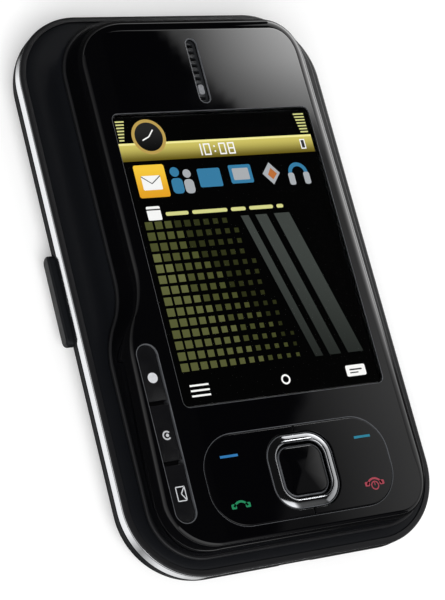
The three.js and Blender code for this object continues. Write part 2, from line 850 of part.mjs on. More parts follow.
const lugReach = 2.6;
const lugHeight = 0.4;
const springPegRadius = 0.45;
const springWire = 0.4;
const springLevel = shoeHeadBottom + lugHeight + partGap + springWire / 2;
const springPegTop = springLevel + springWire / 2 + partGap;
const springPegInset = 1.1;
const shoePegY = shoeY - shoeHeadWidth / 2 - springPegInset;
const springPostX = shoeMiddle - slideTravel / 2;
const springDrop = 11.5;
const springPostY = shoePegY - springDrop;

// A guide shoe: foot on the base plate, neck through the slot, head over the carriage, spring lug
function guideShoe(hand) {
  const y = hand * shoeY;
  const rounding = 0.8;
  const neck = centredRectangle(shoeMiddle, y, shoeRight - shoeLeft, shoeNeckWidth, rounding);
  const head = centredRectangle(shoeMiddle, y, shoeRight - shoeLeft, shoeHeadWidth, rounding);
  const lugY = hand * (shoeY - shoeHeadWidth / 2 - lugReach / 2 + rounding / 2);
  const lug = centredRectangle(shoeMiddle, lugY, lugReach, lugReach + rounding, rounding);
  return join(
    slab(head, shoeFootBottom, shoeFootTop, 0, 3),
    slab(neck, shoeFootTop - partGap, shoeHeadBottom + partGap, 0, 3),
    slab(head, shoeHeadBottom, shoeHeadTop, 0, 3),
    slab(lug, shoeHeadBottom, shoeHeadBottom + lugHeight, 0, 3),
    peg(shoeMiddle, hand * shoePegY, springPegRadius, shoeHeadBottom + partGap, springPegTop, smallPegSides),
  );
}

// Keyboard: a switch sheet, rubber strips that carry the key caps of a row, and wide keys of their own
const capGap = 0.5;
const capCorner = 0.7;
const capEdge = 0.25;

function keyPlace(row, column, span) {
  const x = wellRight - (row + 0.5) * rowPitch;
  const y = wellTop - (column + span / 2) * columnPitch;
  return centredRectangle(x, y, rowPitch - capGap, span * columnPitch - capGap, capCorner);
}

function keyCap(row, column, span = 1, bottom = stripBottom) {
  return loft(keyPlace(row, column, span), [
    [0, bottom],
    [0, capTop - capEdge],
    [1.6 * capEdge, capTop],
  ], 1);
}

// Caps of neighbouring columns on one rubber strip
function keyRow(row, first, last) {
  const strip = slab(keyPlace(row, first, last - first + 1), stripBottom, capBottom, 0, 1);
  const caps = Array.from({ length: last - first + 1 }, (_, i) =>
    keyCap(row, first + i, 1, capBottom - partGap));
  return join(strip, ...caps);
}

function switchSheet() {
  const inset = 0.4;
  return slab(wellOutline, sheetBottom, sheetTop, inset, smallSteps);
}

const spaceKeyColumns = 3;
const leftKeyColumns = 4;
const lastColumn = keyColumns - 1;

// Display half: frame, carriage, front cover
const shoulderSteps = 4;
const shoulderTurn = 2.5;
const carriageInset = 2.4;
const frameWidth = 2.2;

const coverBossRadius = 1.4;
const coverBossTopReach = 5;
const coverBossLowReach = 6.4;
const coverBossTurn = Math.PI * 70 / 180;
const coverBossPlaces = [
  [waistLeft + upperCorner, -1, 1],
  [upperRight - upperCorner, 1, 1],
  [upperLeft + upperCorner, -1, -1],
  [upperRight - upperCorner, 1, -1],
].map(([middle, handX, handY]) => {
  const centreY = handY > 0 ? upperTop - upperCorner : upperBottom + upperCorner;
  const reach = handY > 0 ? coverBossTopReach : coverBossLowReach;
  return [
    middle + handX * reach * Math.cos(coverBossTurn),
    centreY + handY * reach * Math.sin(coverBossTurn),
  ];
});

function upperFrame() {
  const edge = 0.25;
  return cut(
    loft(upperOutline, [
      [edge, slidePlane],
      [0, slidePlane + edge],
      [0, frameTop - edge],
      [edge, frameTop],
    ]),
    slab(upperOutline, slidePlane - overrun, frameTop + overrun, frameWidth),
  );
}

const carriageStakeHead = stakeHeadRadius - partGap;

function slideCarriage() {
  const slotRounding = 0.9;
  const slots = [-1, 1].map((hand) => {
    const outline = rectangle(shoeLeft - slideTravel - keyGap, shoeRight + keyGap,
      hand * shoeY - shoeNeckWidth / 2 - keyGap, hand * shoeY + shoeNeckWidth / 2 + keyGap, slotRounding);
    return slab(outline, slidePlane - overrun, carriageTop + overrun, 0, 3);
  });
  const posts = [-1, 1].flatMap((hand) => [
    peg(springPostX, hand * springPostY, 2.5 * springPegRadius, carriageTop - partGap,
      springLevel - springWire / 2 - partGap, smallPegSides),
    peg(springPostX, hand * springPostY, springPegRadius, carriageTop - partGap, springPegTop,
      smallPegSides),
  ]);
  const stakeHoles = coverBossPlaces.flatMap(([x, y]) => [
    peg(x, y, stakeRadius + partGap, slidePlane - overrun, carriageTop + overrun, smallPegSides),
    peg(x, y, carriageStakeHead + partGap, slidePlane - overrun,
      slidePlane + stakeHeadHeight + 2 * partGap, smallPegSides),
  ]);
  return cut(
    join(slab(upperOutline, slidePlane, carriageTop, carriageInset), ...posts),
    ...slots,
    ...stakeHoles,
    box(flexUpX - slitWidth / 2, flexUpX + slitWidth / 2, channelLow, channelHigh,
      slidePlane - overrun, carriageTop + overrun),
  );
}

// How far each side of the cover stands in from the frame: at its foot, where its slant would meet the
// face, and where the face turns flat
const coverFoot = { left: 0.3, right: 1, top: 0.65, bottom: 0.3 };
const coverLean = { left: 1.2, right: 4.9, top: 3.35, bottom: 1.3 };
const coverFlat = { left: 2, right: 6.4, top: 5.45, bottom: 2.1 };

function mixSides(first, second, amount) {
  return Object.fromEntries(Object.keys(first).map((side) =>
    [side, first[side] + (second[side] - first[side]) * amount]));
}

// Levels of the cover's skin: a slanted side, then a shoulder that turns flat at the face
function coverLevels() {
  const slant = (face - shoulderTurn - coverBase) / (face - coverBase);
  const turn = Array.from({ length: shoulderSteps + 1 }, (_, i) => {
    const t = i / shoulderSteps;
    const lean = (1 - t) * (1 - t) * slant + 2 * t * (1 - t) + t * t;
    const slanted = mixSides(coverFoot, coverLean, lean);
    const flat = mixSides(coverFoot, coverFlat, lean);
    return { sides: mixSides(slanted, flat, t * t), z: face - shoulderTurn * (1 - t) * (1 - t) };
  });
  return [{ sides: coverFoot, z: coverBase }, ...turn];
}

// Points of the display half's outline, drawn in by the inset of the side that each one faces
function traceSides(sides, extra = 0, steps = cornerSteps) {
  const waistBends = upperOutline.slice(2, 4);
  return upperOutline.flatMap((bend) => {
    const { from, to, hollow } = bend;
    const inWaist = waistBends.includes(bend);
    return trace([bend], 0, steps).map((point, i, points) => {
      const arcSteps = hollow ? points.length : points.length - 1;
      const angle = from + ((to - from) * i) / arcSteps;
      const hand = hollow ? -1 : 1;
      const outX = hand * Math.cos(angle);
      const outY = hand * Math.sin(angle);
      const across = outX > 0 ? sides.right : sides.left;
      const along = outY > 0 ? sides.top : sides.bottom;
      const inset = extra + (inWaist ? sides.left : across * outX * outX + along * outY * outY);
      return new THREE.Vector2(point.x - inset * outX, point.y - inset * outY);
    });
  });
}

// Outer skin of the display half, drawn in and lowered by a sink
function coverSkin(sink = 0) {
  return solidOf(loftGeometry(coverLevels().map(({ sides, z }) =>
    ({ points: traceSides(sides, sink), z: z - sink }))));
}

// Inner levels of the cover, a wall below the skin
function coverInnerLevels() {
  return coverLevels().map(({ sides, z }) => {
    const rise = (z - coverBase) / (face - coverBase);
    return { sides, extra: coverWall * (1 - rise), z: z - coverWall * rise };
  });
}

// Outline that fits inside the cover up to a height, with a gap all round
function insideCover(low, high, gap, steps = cornerSteps) {
  const levels = coverInnerLevels();
  const next = levels.findIndex(({ z }) => z >= high);
  const [before, after] = [levels[next - 1], levels[next]];
  const amount = (high - before.z) / (after.z - before.z);
  const extra = before.extra + (after.extra - before.extra) * amount;
  return slabOf(traceSides(mixSides(before.sides, after.sides, amount), extra + gap, steps), low, high);
}

const windowLeft = waistLeft + windowLeftMargin;
const windowRight = upperRight - windowRightMargin;
const windowBottom = upperBottom + windowBottomMargin;
const windowTop = upperTop - windowTopMargin;
const windowMiddleX = (windowLeft + windowRight) / 2;
const windowOutline = rectangle(windowLeft, windowRight, windowBottom, windowTop, windowCorner);
const windowLip = 0.7;

const clusterLeft = upperLeft + clusterLeftMargin;
const clusterRight = upperRight - clusterRightMargin;
const clusterBottom = upperBottom + clusterBottomMargin;
const clusterTop = clusterBottom + clusterHeight;
const clusterOutline = rectangle(clusterLeft, clusterRight, clusterBottom, clusterTop, clusterCorner);

const shortcutMargin = 1.8;
const shortcutWidth = 3.8;
const shortcutTopMargin = 2;
const shortcutBottomMargin = 5;
const shortcutCount = 3;
const shortcutLeft = upperLeft + shortcutMargin;
const shortcutTop = waistBottomY + shortcutTopMargin;
const shortcutBottom = upperBottom + shortcutBottomMargin;
const shortcutOutline = rectangle(shortcutLeft, shortcutLeft + shortcutWidth, shortcutBottom, shortcutTop,
  shortcutWidth / 2 - partGap / 2);

const slotShiftX = -0.65;
const slotRise = 7.2;
const slotWidth = 2.3;
const slotLength = 12;
const slotX = windowMiddleX + slotShiftX;
const slotY = windowTop + slotRise;
const slotOutline = centredRectangle(slotX, slotY, slotWidth, slotLength, slotWidth / 2 - partGap / 2);

const coverOuter = coverSkin();

function frontCover() {
  const innerLevels = coverInnerLevels();
  const hollow = solidOf(loftGeometry([{ ...innerLevels[0], z: coverBase - overrun }, ...innerLevels]
    .map(({ sides, extra, z }) => ({ points: traceSides(sides, extra), z }))));
  const bosses = coverBossPlaces.map(([x, y]) =>
    peg(x, y, coverBossRadius, carriageTop + partGap, coverUnder + partGap, smallPegSides));
  const stakes = coverBossPlaces.flatMap(([x, y]) => [
    peg(x, y, stakeRadius, slidePlane + partGap, carriageTop + 2 * partGap, smallPegSides),
    peg(x, y, carriageStakeHead, slidePlane + partGap / 2,
      slidePlane + partGap / 2 + stakeHeadHeight, smallPegSides),
  ]);
  return cut(
    join(cut(coverOuter, hollow), ...bosses, ...stakes),
    slab(windowOutline, face - windowThickness, face + overrun, 0, 3),
    slab(windowOutline, coverUnder - overrun, face, windowLip, 3),
    slab(clusterOutline, coverUnder - overrun, face + overrun),
    slab(shortcutOutline, coverUnder - shoulderTurn, face + overrun, 0, 5),
    slab(slotOutline, coverUnder - overrun, face + overrun, 0, 5),
  );
}

function displayWindow() {
  const bond = 0.05;
  return slab(windowOutline, face - windowThickness + bond, face, partGap, 3);
}

const panelBorder = 0.3;
const panelSink = 0.3;
const panelEndBorder = 1.5;
const panelLeft = windowLeft - panelBorder;
const panelBottom = windowBottom - panelEndBorder;

function displayPanel() {
  const outline = rectangle(panelLeft, windowRight + panelBorder, panelBottom,
    windowTop + panelEndBorder, panelBorder);
  return slab(outline, bracketTop + partGap, coverUnder - panelSink, 0, 1);
}

function displayBracket() {
  const bossHoles = coverBossPlaces.map(([x, y]) =>
    peg(x, y, coverBossRadius + keyGap, bracketBottom - overrun, bracketTop + overrun, smallPegSides));
  return cut(insideCover(bracketBottom, bracketTop, keyGap), ...bossHoles);
}

function earpieceGrille() {
  const thickness = 0.6;
  const top = coverUnder + thickness;
  const barCount = 9;
  const barPitch = slotLength / (barCount + 1);
  const holes = Array.from({ length: barCount }, (_, i) => {
    const y = slotY - slotLength / 2 + (i + 1) * barPitch;
    return box(slotX - slotWidth / 4, slotX + slotWidth / 4, y - barPitch / 4, y + barPitch / 4,
      coverUnder - overrun, top + overrun);
  });
  return cut(slab(slotOutline, coverUnder, top, partGap, 3), ...holes);
}

function earpiece() {
  const width = 7;
  const length = 9.2;
  const diaphragmDepth = 0.45;
  const diaphragmInset = 1.3;
  const body = centredRectangle(slotX, slotY + partGap, width, length, width / 3);
  return cut(
    slab(body, bracketTop + partGap, coverUnder - partGap, 0, 4),
    slab(body, coverUnder - diaphragmDepth, coverUnder, diaphragmInset, 4),
  );
}

// Keypad board: an L under the shortcut keys and the key cluster
function keypadBoard() {
  const strip = box(upperLeft - overrun, panelLeft - keyGap, upperBottom - overrun, shortcutTop,
    keyBoardBottom, keyBoardTop);
  const field = box(upperLeft - overrun, clusterRight, upperBottom - overrun, panelBottom - keyGap,
    keyBoardBottom, keyBoardTop);
  const holes = coverBossPlaces.map(([x, y]) =>
    peg(x, y, coverBossRadius + keyGap, keyBoardBottom - overrun, keyBoardTop + overrun, smallPegSides));
  return cut(
    join(strip, field).intersect(insideCover(keyBoardBottom, keyBoardTop, keyGap)),
    ...holes,
  );
}

// Key cluster: navigation ring, select key and a rocking plate on each side
const navMargin = 1.5;
const navShiftX = 0.6;
const navCorner = 4;
const navSize = clusterHeight - 2 * navMargin;
const navX = (clusterLeft + clusterRight) / 2 + navShiftX;
const navY = (clusterBottom + clusterTop) / 2;
const navOutline = centredRectangle(navX, navY, navSize, navSize, navCorner);
const navBand = 1.65;
const navStand = 0.25;
const selectGap = 0.25;

function navigationRing() {
  const bevel = 0.7;
  const innerLip = 0.15;
  return cut(
    loft(navOutline, [
      [0, plateKeyBottom + partGap],
      [0, face - bevel / 3],
      [bevel / 2, face + navStand - partGap],
      [bevel, face + navStand],
    ]),
    slab(navOutline, plateKeyBottom - overrun, face + overrun, navBand),
    loft(navOutline, [
      [navBand, face - bevel],
      [navBand - innerLip, face + navStand - partGap],
      [navBand - 3 * innerLip, face + navStand + overrun],
    ]),
  );
}

function navigationActuator() {
  const inset = 0.7;
  const nib = 0.7;
  const nibs = [[1, 0], [0, 1], [-1, 0], [0, -1]].map(([x, y]) => {
    const reach = navSize / 2 - inset - 2 * nib;
    return peg(navX + x * reach, navY + y * reach, nib, actuatorBottom - partGap,
      actuatorTop - partGap, smallPegSides);
  });
  return join(
    cut(slab(navOutline, actuatorBottom, actuatorTop, inset, 4),
      peg(navX, navY, 2 * nib, actuatorBottom - overrun, actuatorTop + overrun)),
    ...nibs,
  );
}

function selectKey() {
  const edge = 0.3;
  const inset = navBand + selectGap;
  return loft(navOutline, [
    [inset, plateKeyBottom + 1.5 * partGap],
    [inset, face - edge],
    [inset + edge, face - partGap / 2],
  ], 5);
}

const plungerRadius = 1;

function clusterPlate(hand) {
  const split = 0.25;
  const half = hand < 0
    ? box(clusterLeft, navX - split / 2, clusterBottom, clusterTop, plateKeyBottom, face)
    : box(navX + split / 2, clusterRight, clusterBottom, clusterTop, plateKeyBottom, face);
  const plate = cut(
    slab(clusterOutline, plateKeyBottom, face, keyGap).intersect(half),
    slab(navOutline, plateKeyBottom - overrun, face + overrun, -keyGap),
  );
  const outerEdge = hand < 0 ? clusterLeft : clusterRight;
  const plungerX = (outerEdge + navX + hand * navSize / 2) / 2;
  const plungers = [clusterTop - clusterHeight / 4, clusterBottom + clusterHeight / 4].map((y) =>
    peg(plungerX, y, plungerRadius, keyBoardTop + pressRoom, plateKeyBottom + partGap, smallPegSides));
  return join(plate, ...plungers);
}

const shortcutPitch = (shortcutTop - shortcutBottom) / shortcutCount;
const shortcutSink = 0.1;
const shortcutSkin = coverSkin(shortcutSink);

// A shortcut key: its piece of the slot, its top following the shoulder of the cover
function shortcutKey(place) {
  const high = shortcutTop - place * shortcutPitch;
  const low = high - shortcutPitch;
  const lowEdge = place === shortcutCount - 1 ? low - overrun : low + keyGap / 2;
  const highEdge = place === 0 ? high + overrun : high - keyGap / 2;
  const bottom = plateKeyBottom - partGap;
  const segment = box(shortcutLeft, shortcutLeft + shortcutWidth, lowEdge, highEdge, bottom, face);
  const plunger = peg(shortcutLeft + shortcutWidth / 2, (low + high) / 2, plungerRadius,
    keyBoardTop + pressRoom, bottom + partGap, smallPegSides);
  const inset = 0.6 * keyGap;
  return join(
    slab(shortcutOutline, bottom, face, inset, 5).intersect(segment).intersect(shortcutSkin),
    plunger,
  );
}

// Assist spring: a flat wave of wire between a shoe and a post of the carriage, with an eye at each end
class SpringLine extends THREE.Curve {
  constructor(start, end, waves, swing, eye) {
    super();
    this.start = start;
    this.end = end;
    this.waves = waves;
    this.swing = swing;
    this.eye = eye;
  }

  getPoint(t, target = new THREE.Vector3()) {
    const along = new THREE.Vector2().subVectors(this.end, this.start).normalize();
    const across = new THREE.Vector2(-along.y, along.x);
    const eyeShare = 0.14;
    const eyeTurn = 3.2 * quarter;
    let point;
    if (t < eyeShare || t > 1 - eyeShare) {
      const atStart = t < eyeShare;
      const middle = atStart ? this.start : this.end;
      const hand = atStart ? 1 : -1;
      const progress = atStart ? t / eyeShare : (1 - t) / eyeShare;
      const angle = eyeTurn * (progress - 1);
      point = middle.clone()
        .addScaledVector(along, hand * this.eye * Math.sin(angle + quarter))
        .addScaledVector(across, -this.eye * Math.cos(angle + quarter));
    } else {
      const progress = (t - eyeShare) / (1 - 2 * eyeShare);
      const from = this.start.clone().addScaledVector(along, this.eye);
      const to = this.end.clone().addScaledVector(along, -this.eye);
      point = from.lerp(to, progress)
        .addScaledVector(across, this.swing * Math.sin(2 * Math.PI * this.waves * progress));
    }
    return target.set(point.x, point.y, springLevel);
  }
}

function assistSpring(hand) {
  const waves = 3;
  const swing = 2.2;
  const sides = 4;
  const steps = 56;
  const eye = springPegRadius + springWire / 2 + partGap;
  const start = new THREE.Vector2(shoeMiddle, hand * shoePegY);
  const end = new THREE.Vector2(springPostX, hand * springPostY);
  const section = new THREE.Shape(Array.from({ length: sides }, (_, i) => {
    const angle = (4 * quarter * i) / sides;
    return new THREE.Vector2(Math.cos(angle), Math.sin(angle)).multiplyScalar(springWire / 2);
  }));
  return solidOf(new THREE.ExtrudeGeometry(section, {
    steps,
    bevelEnabled: false,
    extrudePath: new SpringLine(start, end, waves, swing, eye),
  }));
}

// Ribbon cable: a thin strip whose edge view is a line in X and Z, given its thickness to both sides
function slideFlex() {
  const low = pocketFloor + partGap + flexThickness / 2;
  const high = slidePlane - partGap - flexThickness / 2;
  const foldRadius = (high - low) / 2;
  const foldSteps = 6;
  const fold = Array.from({ length: foldSteps + 1 }, (_, i) => {
    const angle = 3 * quarter - (2 * quarter * i) / foldSteps;
    return new THREE.Vector2(flexFoldX + foldRadius * Math.cos(angle),
      (low + high) / 2 + foldRadius * Math.sin(angle));
  });
  const line = [
    new THREE.Vector2(flexDownX, boardTop + partGap),
    new THREE.Vector2(flexDownX, low),
    ...fold,
    new THREE.Vector2(flexUpX, high),
    new THREE.Vector2(flexUpX, bracketBottom - partGap),
  ];
  const normals = line.map((point, i) => {
    const before = line[Math.max(i - 1, 0)];
    const after = line[Math.min(i + 1, line.length - 1)];
    const arriving = i ? point.clone().sub(before).normalize() : null;
    const leaving = i + 1 < line.length ? after.clone().sub(point).normalize() : null;
    const first = arriving ?? leaving;
    const second = leaving ?? arriving;
    const mitre = new THREE.Vector2(-first.y - second.y, first.x + second.x).normalize();
    const across = new THREE.Vector2(-first.y, first.x);
    return mitre.multiplyScalar(flexThickness / 2 / Math.abs(mitre.dot(across)));
  });
  const sideA = line.map((point, i) => point.clone().add(normals[i]));
  const sideB = line.map((point, i) => point.clone().sub(normals[i])).reverse();
  const geometry = new THREE.ExtrudeGeometry(new THREE.Shape([...sideA, ...sideB]), {
    depth: flexWidth,
    bevelEnabled: false,
  });
  return solidOf(geometry.rotateX(quarter).translate(0, flexY + flexWidth / 2, 0));
}

// Keyboard half
addPart(lowerHalf, 'rear_shell', softBlack, rearShell());
addPart(lowerHalf, 'trim_band', chromeTrim, trimBand());
addPart(lowerHalf, 'keyboard_deck', softBlack, keyboardDeck());
addPart(lowerHalf, 'battery_cover', softBlack, batteryCover());
addPart(lowerHalf, 'battery', cellWhite, battery());
addPart(lowerHalf, 'battery_contacts', goldContact, batteryContacts());
addPart(lowerHalf, 'sim_holder', steel, simHolder());
addPart(lowerHalf, 'camera_bezel', darkChrome, cameraBezel());
addPart(lowerHalf, 'camera_window', windowGlass, cameraWindow());
addPart(lowerHalf, 'camera_module', blackPlastic, cameraModule());
addPart(lowerHalf, 'loudspeaker', blackPlastic, loudspeaker());
addPart(lowerHalf, 'vibration_motor', steel, vibrationMotor());
addPart(lowerHalf, 'main_board', boardGreen, mainBoard());
addPart(lowerHalf, 'shield_can', steel, shieldCan());
addPart(lowerHalf, 'antenna', blackPlastic, antenna());
addPart(lowerHalf, 'usb_socket', steel, usbSocket());
addPart(lowerHalf, 'audio_jack', blackPlastic, audioJack());
addPart(lowerHalf, 'volume_switches', steel, volumeSwitches());
addPart(lowerHalf, 'camera_switch', steel, sideSwitch('right', cameraKeyY));
addPart(lowerHalf, 'power_switch', steel, sideSwitch('top', powerKeyX));
shellScrewPlaces.forEach((place, i) => {
  addPart(lowerHalf, `shell_screw_${i + 1}`, steel, shellScrew(place));
});
addPart(lowerHalf, 'volume_rocker', satinGrey, sideKey('left', rockerY, rockerLength, rockerStand));
addPart(lowerHalf, 'camera_key', satinGrey, sideKey('right', cameraKeyY, cameraKeyLength, cameraKeyStand));
addPart(lowerHalf, 'power_key', satinGrey, sideKey('top', powerKeyX, powerKeyLength, powerKeyStand));
addPart(lowerHalf, 'switch_sheet', steel, switchSheet());
addPart(lowerHalf, 'slide_base_plate', steel, slideBasePlate());
addPart(lowerHalf, 'guide_shoe_top', blackPlastic, guideShoe(1));
addPart(lowerHalf, 'guide_shoe_bottom', blackPlastic, guideShoe(-1));

addPart(lowerHalf, 'key_row_1', satinGrey, keyRow(0, 0, lastColumn - 1));
addPart(lowerHalf, 'backspace_key', satinGrey, keyCap(0, lastColumn));
addPart(lowerHalf, 'key_row_2', satinGrey, keyRow(1, 0, lastColumn - 1));
addPart(lowerHalf, 'enter_key', satinGrey, keyCap(1, lastColumn));
addPart(lowerHalf, 'shift_key', satinGrey, keyCap(2, 0));
addPart(lowerHalf, 'key_row_3', satinGrey, keyRow(2, 1, lastColumn));
addPart(lowerHalf, 'key_row_4_left', satinGrey, keyRow(3, 0, leftKeyColumns - 1));
addPart(lowerHalf, 'space_key', satinGrey, keyCap(3, leftKeyColumns, spaceKeyColumns));
addPart(lowerHalf, 'key_row_4_right', satinGrey, keyRow(3, leftKeyColumns + spaceKeyColumns, lastColumn));

// Display half
addPart(upperHalf, 'slide_carriage', steel, slideCarriage());
addPart(upperHalf, 'upper_frame', blackPlastic, upperFrame());
addPart(upperHalf, 'front_cover', glossBlack, frontCover());
addPart(upperHalf, 'display_window', windowGlass, displayWindow());
addPart(upperHalf, 'display_panel', cellWhite, displayPanel());
addPart(upperHalf, 'display_bracket', steel, displayBracket());
addPart(upperHalf, 'earpiece_grille', darkChrome, earpieceGrille());
addPart(upperHalf, 'earpiece', blackPlastic, earpiece());
addPart(upperHalf, 'keypad_board', boardGreen, keypadBoard());
addPart(upperHalf, 'navigation_ring', darkChrome, navigationRing());
addPart(upperHalf, 'navigation_actuator', rubberGrey, navigationActuator());
addPart(upperHalf, 'select_key', glossBlack, selectKey());
addPart(upperHalf, 'left_key_plate', glossBlack, clusterPlate(-1));
addPart(upperHalf, 'right_key_plate', glossBlack, clusterPlate(1));
for (let place = 0; place < shortcutCount; place += 1) {
  addPart(upperHalf, `shortcut_key_${place + 1}`, glossBlack, shortcutKey(place));
}
addPart(upperHalf, 'assist_spring_top', steel, assistSpring(1));
addPart(upperHalf, 'assist_spring_bottom', steel, assistSpring(-1));
addPart(upperHalf, 'slide_flex', amberFlex, slideFlex());

export default phone;
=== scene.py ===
import math

import bmesh
import bpy
from mathutils import Matrix, Quaternion, Vector


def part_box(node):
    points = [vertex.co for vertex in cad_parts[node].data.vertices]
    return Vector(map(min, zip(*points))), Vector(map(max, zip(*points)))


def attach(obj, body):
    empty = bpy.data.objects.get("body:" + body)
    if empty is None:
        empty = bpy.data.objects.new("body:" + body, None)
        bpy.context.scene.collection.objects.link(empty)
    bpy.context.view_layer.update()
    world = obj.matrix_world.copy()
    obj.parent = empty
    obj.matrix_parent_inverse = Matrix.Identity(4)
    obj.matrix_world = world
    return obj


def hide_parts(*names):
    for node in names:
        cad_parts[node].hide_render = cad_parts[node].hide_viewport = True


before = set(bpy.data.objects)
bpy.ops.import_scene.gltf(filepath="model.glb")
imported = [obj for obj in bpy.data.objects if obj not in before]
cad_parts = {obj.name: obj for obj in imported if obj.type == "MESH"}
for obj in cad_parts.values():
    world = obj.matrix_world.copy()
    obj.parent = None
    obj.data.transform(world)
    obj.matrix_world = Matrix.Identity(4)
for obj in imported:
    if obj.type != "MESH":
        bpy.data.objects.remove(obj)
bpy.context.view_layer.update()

mm = 0.001  # sizes below are in millimetres, in the phone's own frame
samePoint = 1e-4  # points of an outline closer than this are one
overFace, underFace = 17.0, 12.0  # cutters of the display half reach from one to the other


# Outlines: points with their outward direction, so that a ring can be drawn in by an inset

def roundOutline(corners, stepsPerQuarter):
    points = []
    for x, y, radius, fromDeg, toDeg, hollow in corners:
        count = max(3, round(stepsPerQuarter * abs(toDeg - fromDeg) / 90))
        side = -1 if hollow else 1
        for i in range(count + 1):
            angle = math.radians(fromDeg + (toDeg - fromDeg) * i / count)
            px, py = x + radius * math.cos(angle), y + radius * math.sin(angle)
            if not points or math.hypot(px - points[-1][0], py - points[-1][1]) >= samePoint:
                points.append((px, py, side * math.cos(angle), side * math.sin(angle)))
    first, last = points[0], points[-1]
    if math.hypot(first[0] - last[0], first[1] - last[1]) < samePoint:
        points.pop()
    return points


def roundRectangle(left, right, bottom, top, radius, stepsPerQuarter=12):
    return roundOutline([
        (right - radius, top - radius, radius, 0, 90, False),
        (left + radius, top - radius, radius, 90, 180, False),
        (left + radius, bottom + radius, radius, 180, 270, False),
        (right - radius, bottom + radius, radius, 270, 360, False),
    ], stepsPerQuarter)


def centredRectangle(x, y, width, length, radius, stepsPerQuarter=12):
    return roundRectangle(x - width / 2, x + width / 2, y - length / 2, y + length / 2, radius,
                          stepsPerQuarter)


# Round ends: their radius stays just under half the width
def slotOutline(x, y, width, length, stepsPerQuarter, spare=0.02):
    return centredRectangle(x, y, width, length, min(width, length) / 2 - spare, stepsPerQuarter)


def rectangleOf(facts, grow=0.0, stepsPerQuarter=12):
    return roundRectangle(facts["left"] - grow, facts["right"] + grow, facts["bottom"] - grow,
                          facts["top"] + grow, facts["corner"] + grow, stepsPerQuarter)


def ringAt(outline, inset):
    return [(x - inset * nx, y - inset * ny) for x, y, nx, ny in outline]


# A quarter of an ellipse, from upright at the side to level at the top
def quarterRound(inset, height, reach, rise, steps):
    return [(inset + reach * (1 - math.cos(math.radians(90 * i / steps))),
             height + rise * math.sin(math.radians(90 * i / steps))) for i in range(steps + 1)]


def shareOf(value, start, end):
    return min(1.0, max(0.0, (value - start) / (end - start)))


def softStep(t):
    return t * t * (3 - 2 * t)


# Meshes

def pieceFrom(name, mesh):
    piece = bpy.data.objects.new(name, mesh)
    bpy.context.scene.collection.objects.link(piece)
    return piece


def meshOf(name, build):
    shape = bmesh.new()
    build(shape)
    bmesh.ops.recalc_face_normals(shape, faces=shape.faces)
    mesh = bpy.data.meshes.new(name)
    shape.to_mesh(mesh)
    shape.free()
    return mesh


def joinLoops(shape, low, high):
    for i in range(len(low)):
        j = (i + 1) % len(low)
        shape.faces.new((low[i], low[j], high[j], high[i]))


def addRings(shape, rings):
    loops = [[shape.verts.new((x * mm, y * mm, z * mm)) for x, y, z in ring] for ring in rings]
    for low, high in zip(loops, loops[1:]):
        joinLoops(shape, low, high)
    return loops


def levelRings(outline, levels):
    return [[(x, y, z) for x, y in ringAt(outline, inset)] for inset, z in levels]


def solidFromRings(name, rings):
    def build(shape):
        loops = addRings(shape, rings)
        shape.faces.new(list(reversed(loops[0])))
        shape.faces.new(loops[-1])
    return pieceFrom(name, meshOf(name, build))


def loftSolid(name, outline, levels):
    return solidFromRings(name, levelRings(outline, levels))


def prism(name, outline, low, high, inset=0.0):
    return loftSolid(name, outline, [(inset, low), (inset, high)])


def bandSolid(name, outline, section):  # a closed section all round the outline
    def build(shape):
        loops = addRings(shape, levelRings(outline, section))
        joinLoops(shape, loops[-1], loops[0])
    return pieceFrom(name, meshOf(name, build))


def turnedSolid(name, x, y, profile, sides=48):
    turns = [2 * math.pi * i / sides for i in range(sides)]
    return loftSolid(name, [(x, y, -math.cos(turn), -math.sin(turn)) for turn in turns], profile)


def bakeModifiers(piece):
    bpy.context.view_layer.update()
    ready = piece.evaluated_get(bpy.context.evaluated_depsgraph_get())
    mesh = bpy.data.meshes.new_from_object(ready)
    piece.modifiers.clear()
    old = piece.data
    piece.data = mesh
    bpy.data.meshes.remove(old)


def combine(piece, others, operation="DIFFERENCE"):
    for other in others:
        step = piece.modifiers.new("cut", "BOOLEAN")
        step.operation = operation
        step.solver = "EXACT"
        step.object = other
        bakeModifiers(piece)
        bpy.data.objects.remove(other)


def roundEdges(piece, width, segments, degrees):
    rounded = piece.modifiers.new("edge", "BEVEL")
    rounded.width = width * mm
    rounded.segments = segments
    rounded.limit_method = "ANGLE"
    rounded.angle_limit = math.radians(degrees)
    return rounded


# Finishes a new piece and puts it on its body, in place of the solids it stands for
def seat(piece, bodyName, slotName, finishName, *nodes, sharpDeg=32):
    mesh = piece.data
    mesh.materials.clear()
    mesh.materials.append(bpy.data.materials[finishName])
    mesh.polygons.foreach_set("use_smooth", [True] * len(mesh.polygons))
    mesh.set_sharp_from_angle(angle=math.radians(sharpDeg))
    weighted = piece.modifiers.new("shading", "WEIGHTED_NORMAL")
    weighted.keep_sharp = True
    weighted.weight = 100
    if nodes:
        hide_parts(*nodes)
    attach(piece, bodyName)


# Finishes a solid that is carried over, with its edges rounded off
def dress(nodeName, finishName, edge):
    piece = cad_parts[nodeName]
    mesh = piece.data
    mesh.materials.clear()
    mesh.materials.append(bpy.data.materials[finishName])
    mesh.polygons.foreach_set("material_index", [0] * len(mesh.polygons))
    weld = piece.modifiers.new("weld", "WELD")
    weld.merge_threshold = 0.002 * mm
    if edge:
        roundEdges(piece, edge, 2, 38).harden_normals = True
    mesh.polygons.foreach_set("use_smooth", [True] * len(mesh.polygons))


# Finishes: sizes of the grain in millimetres, wear where the surface is sharp

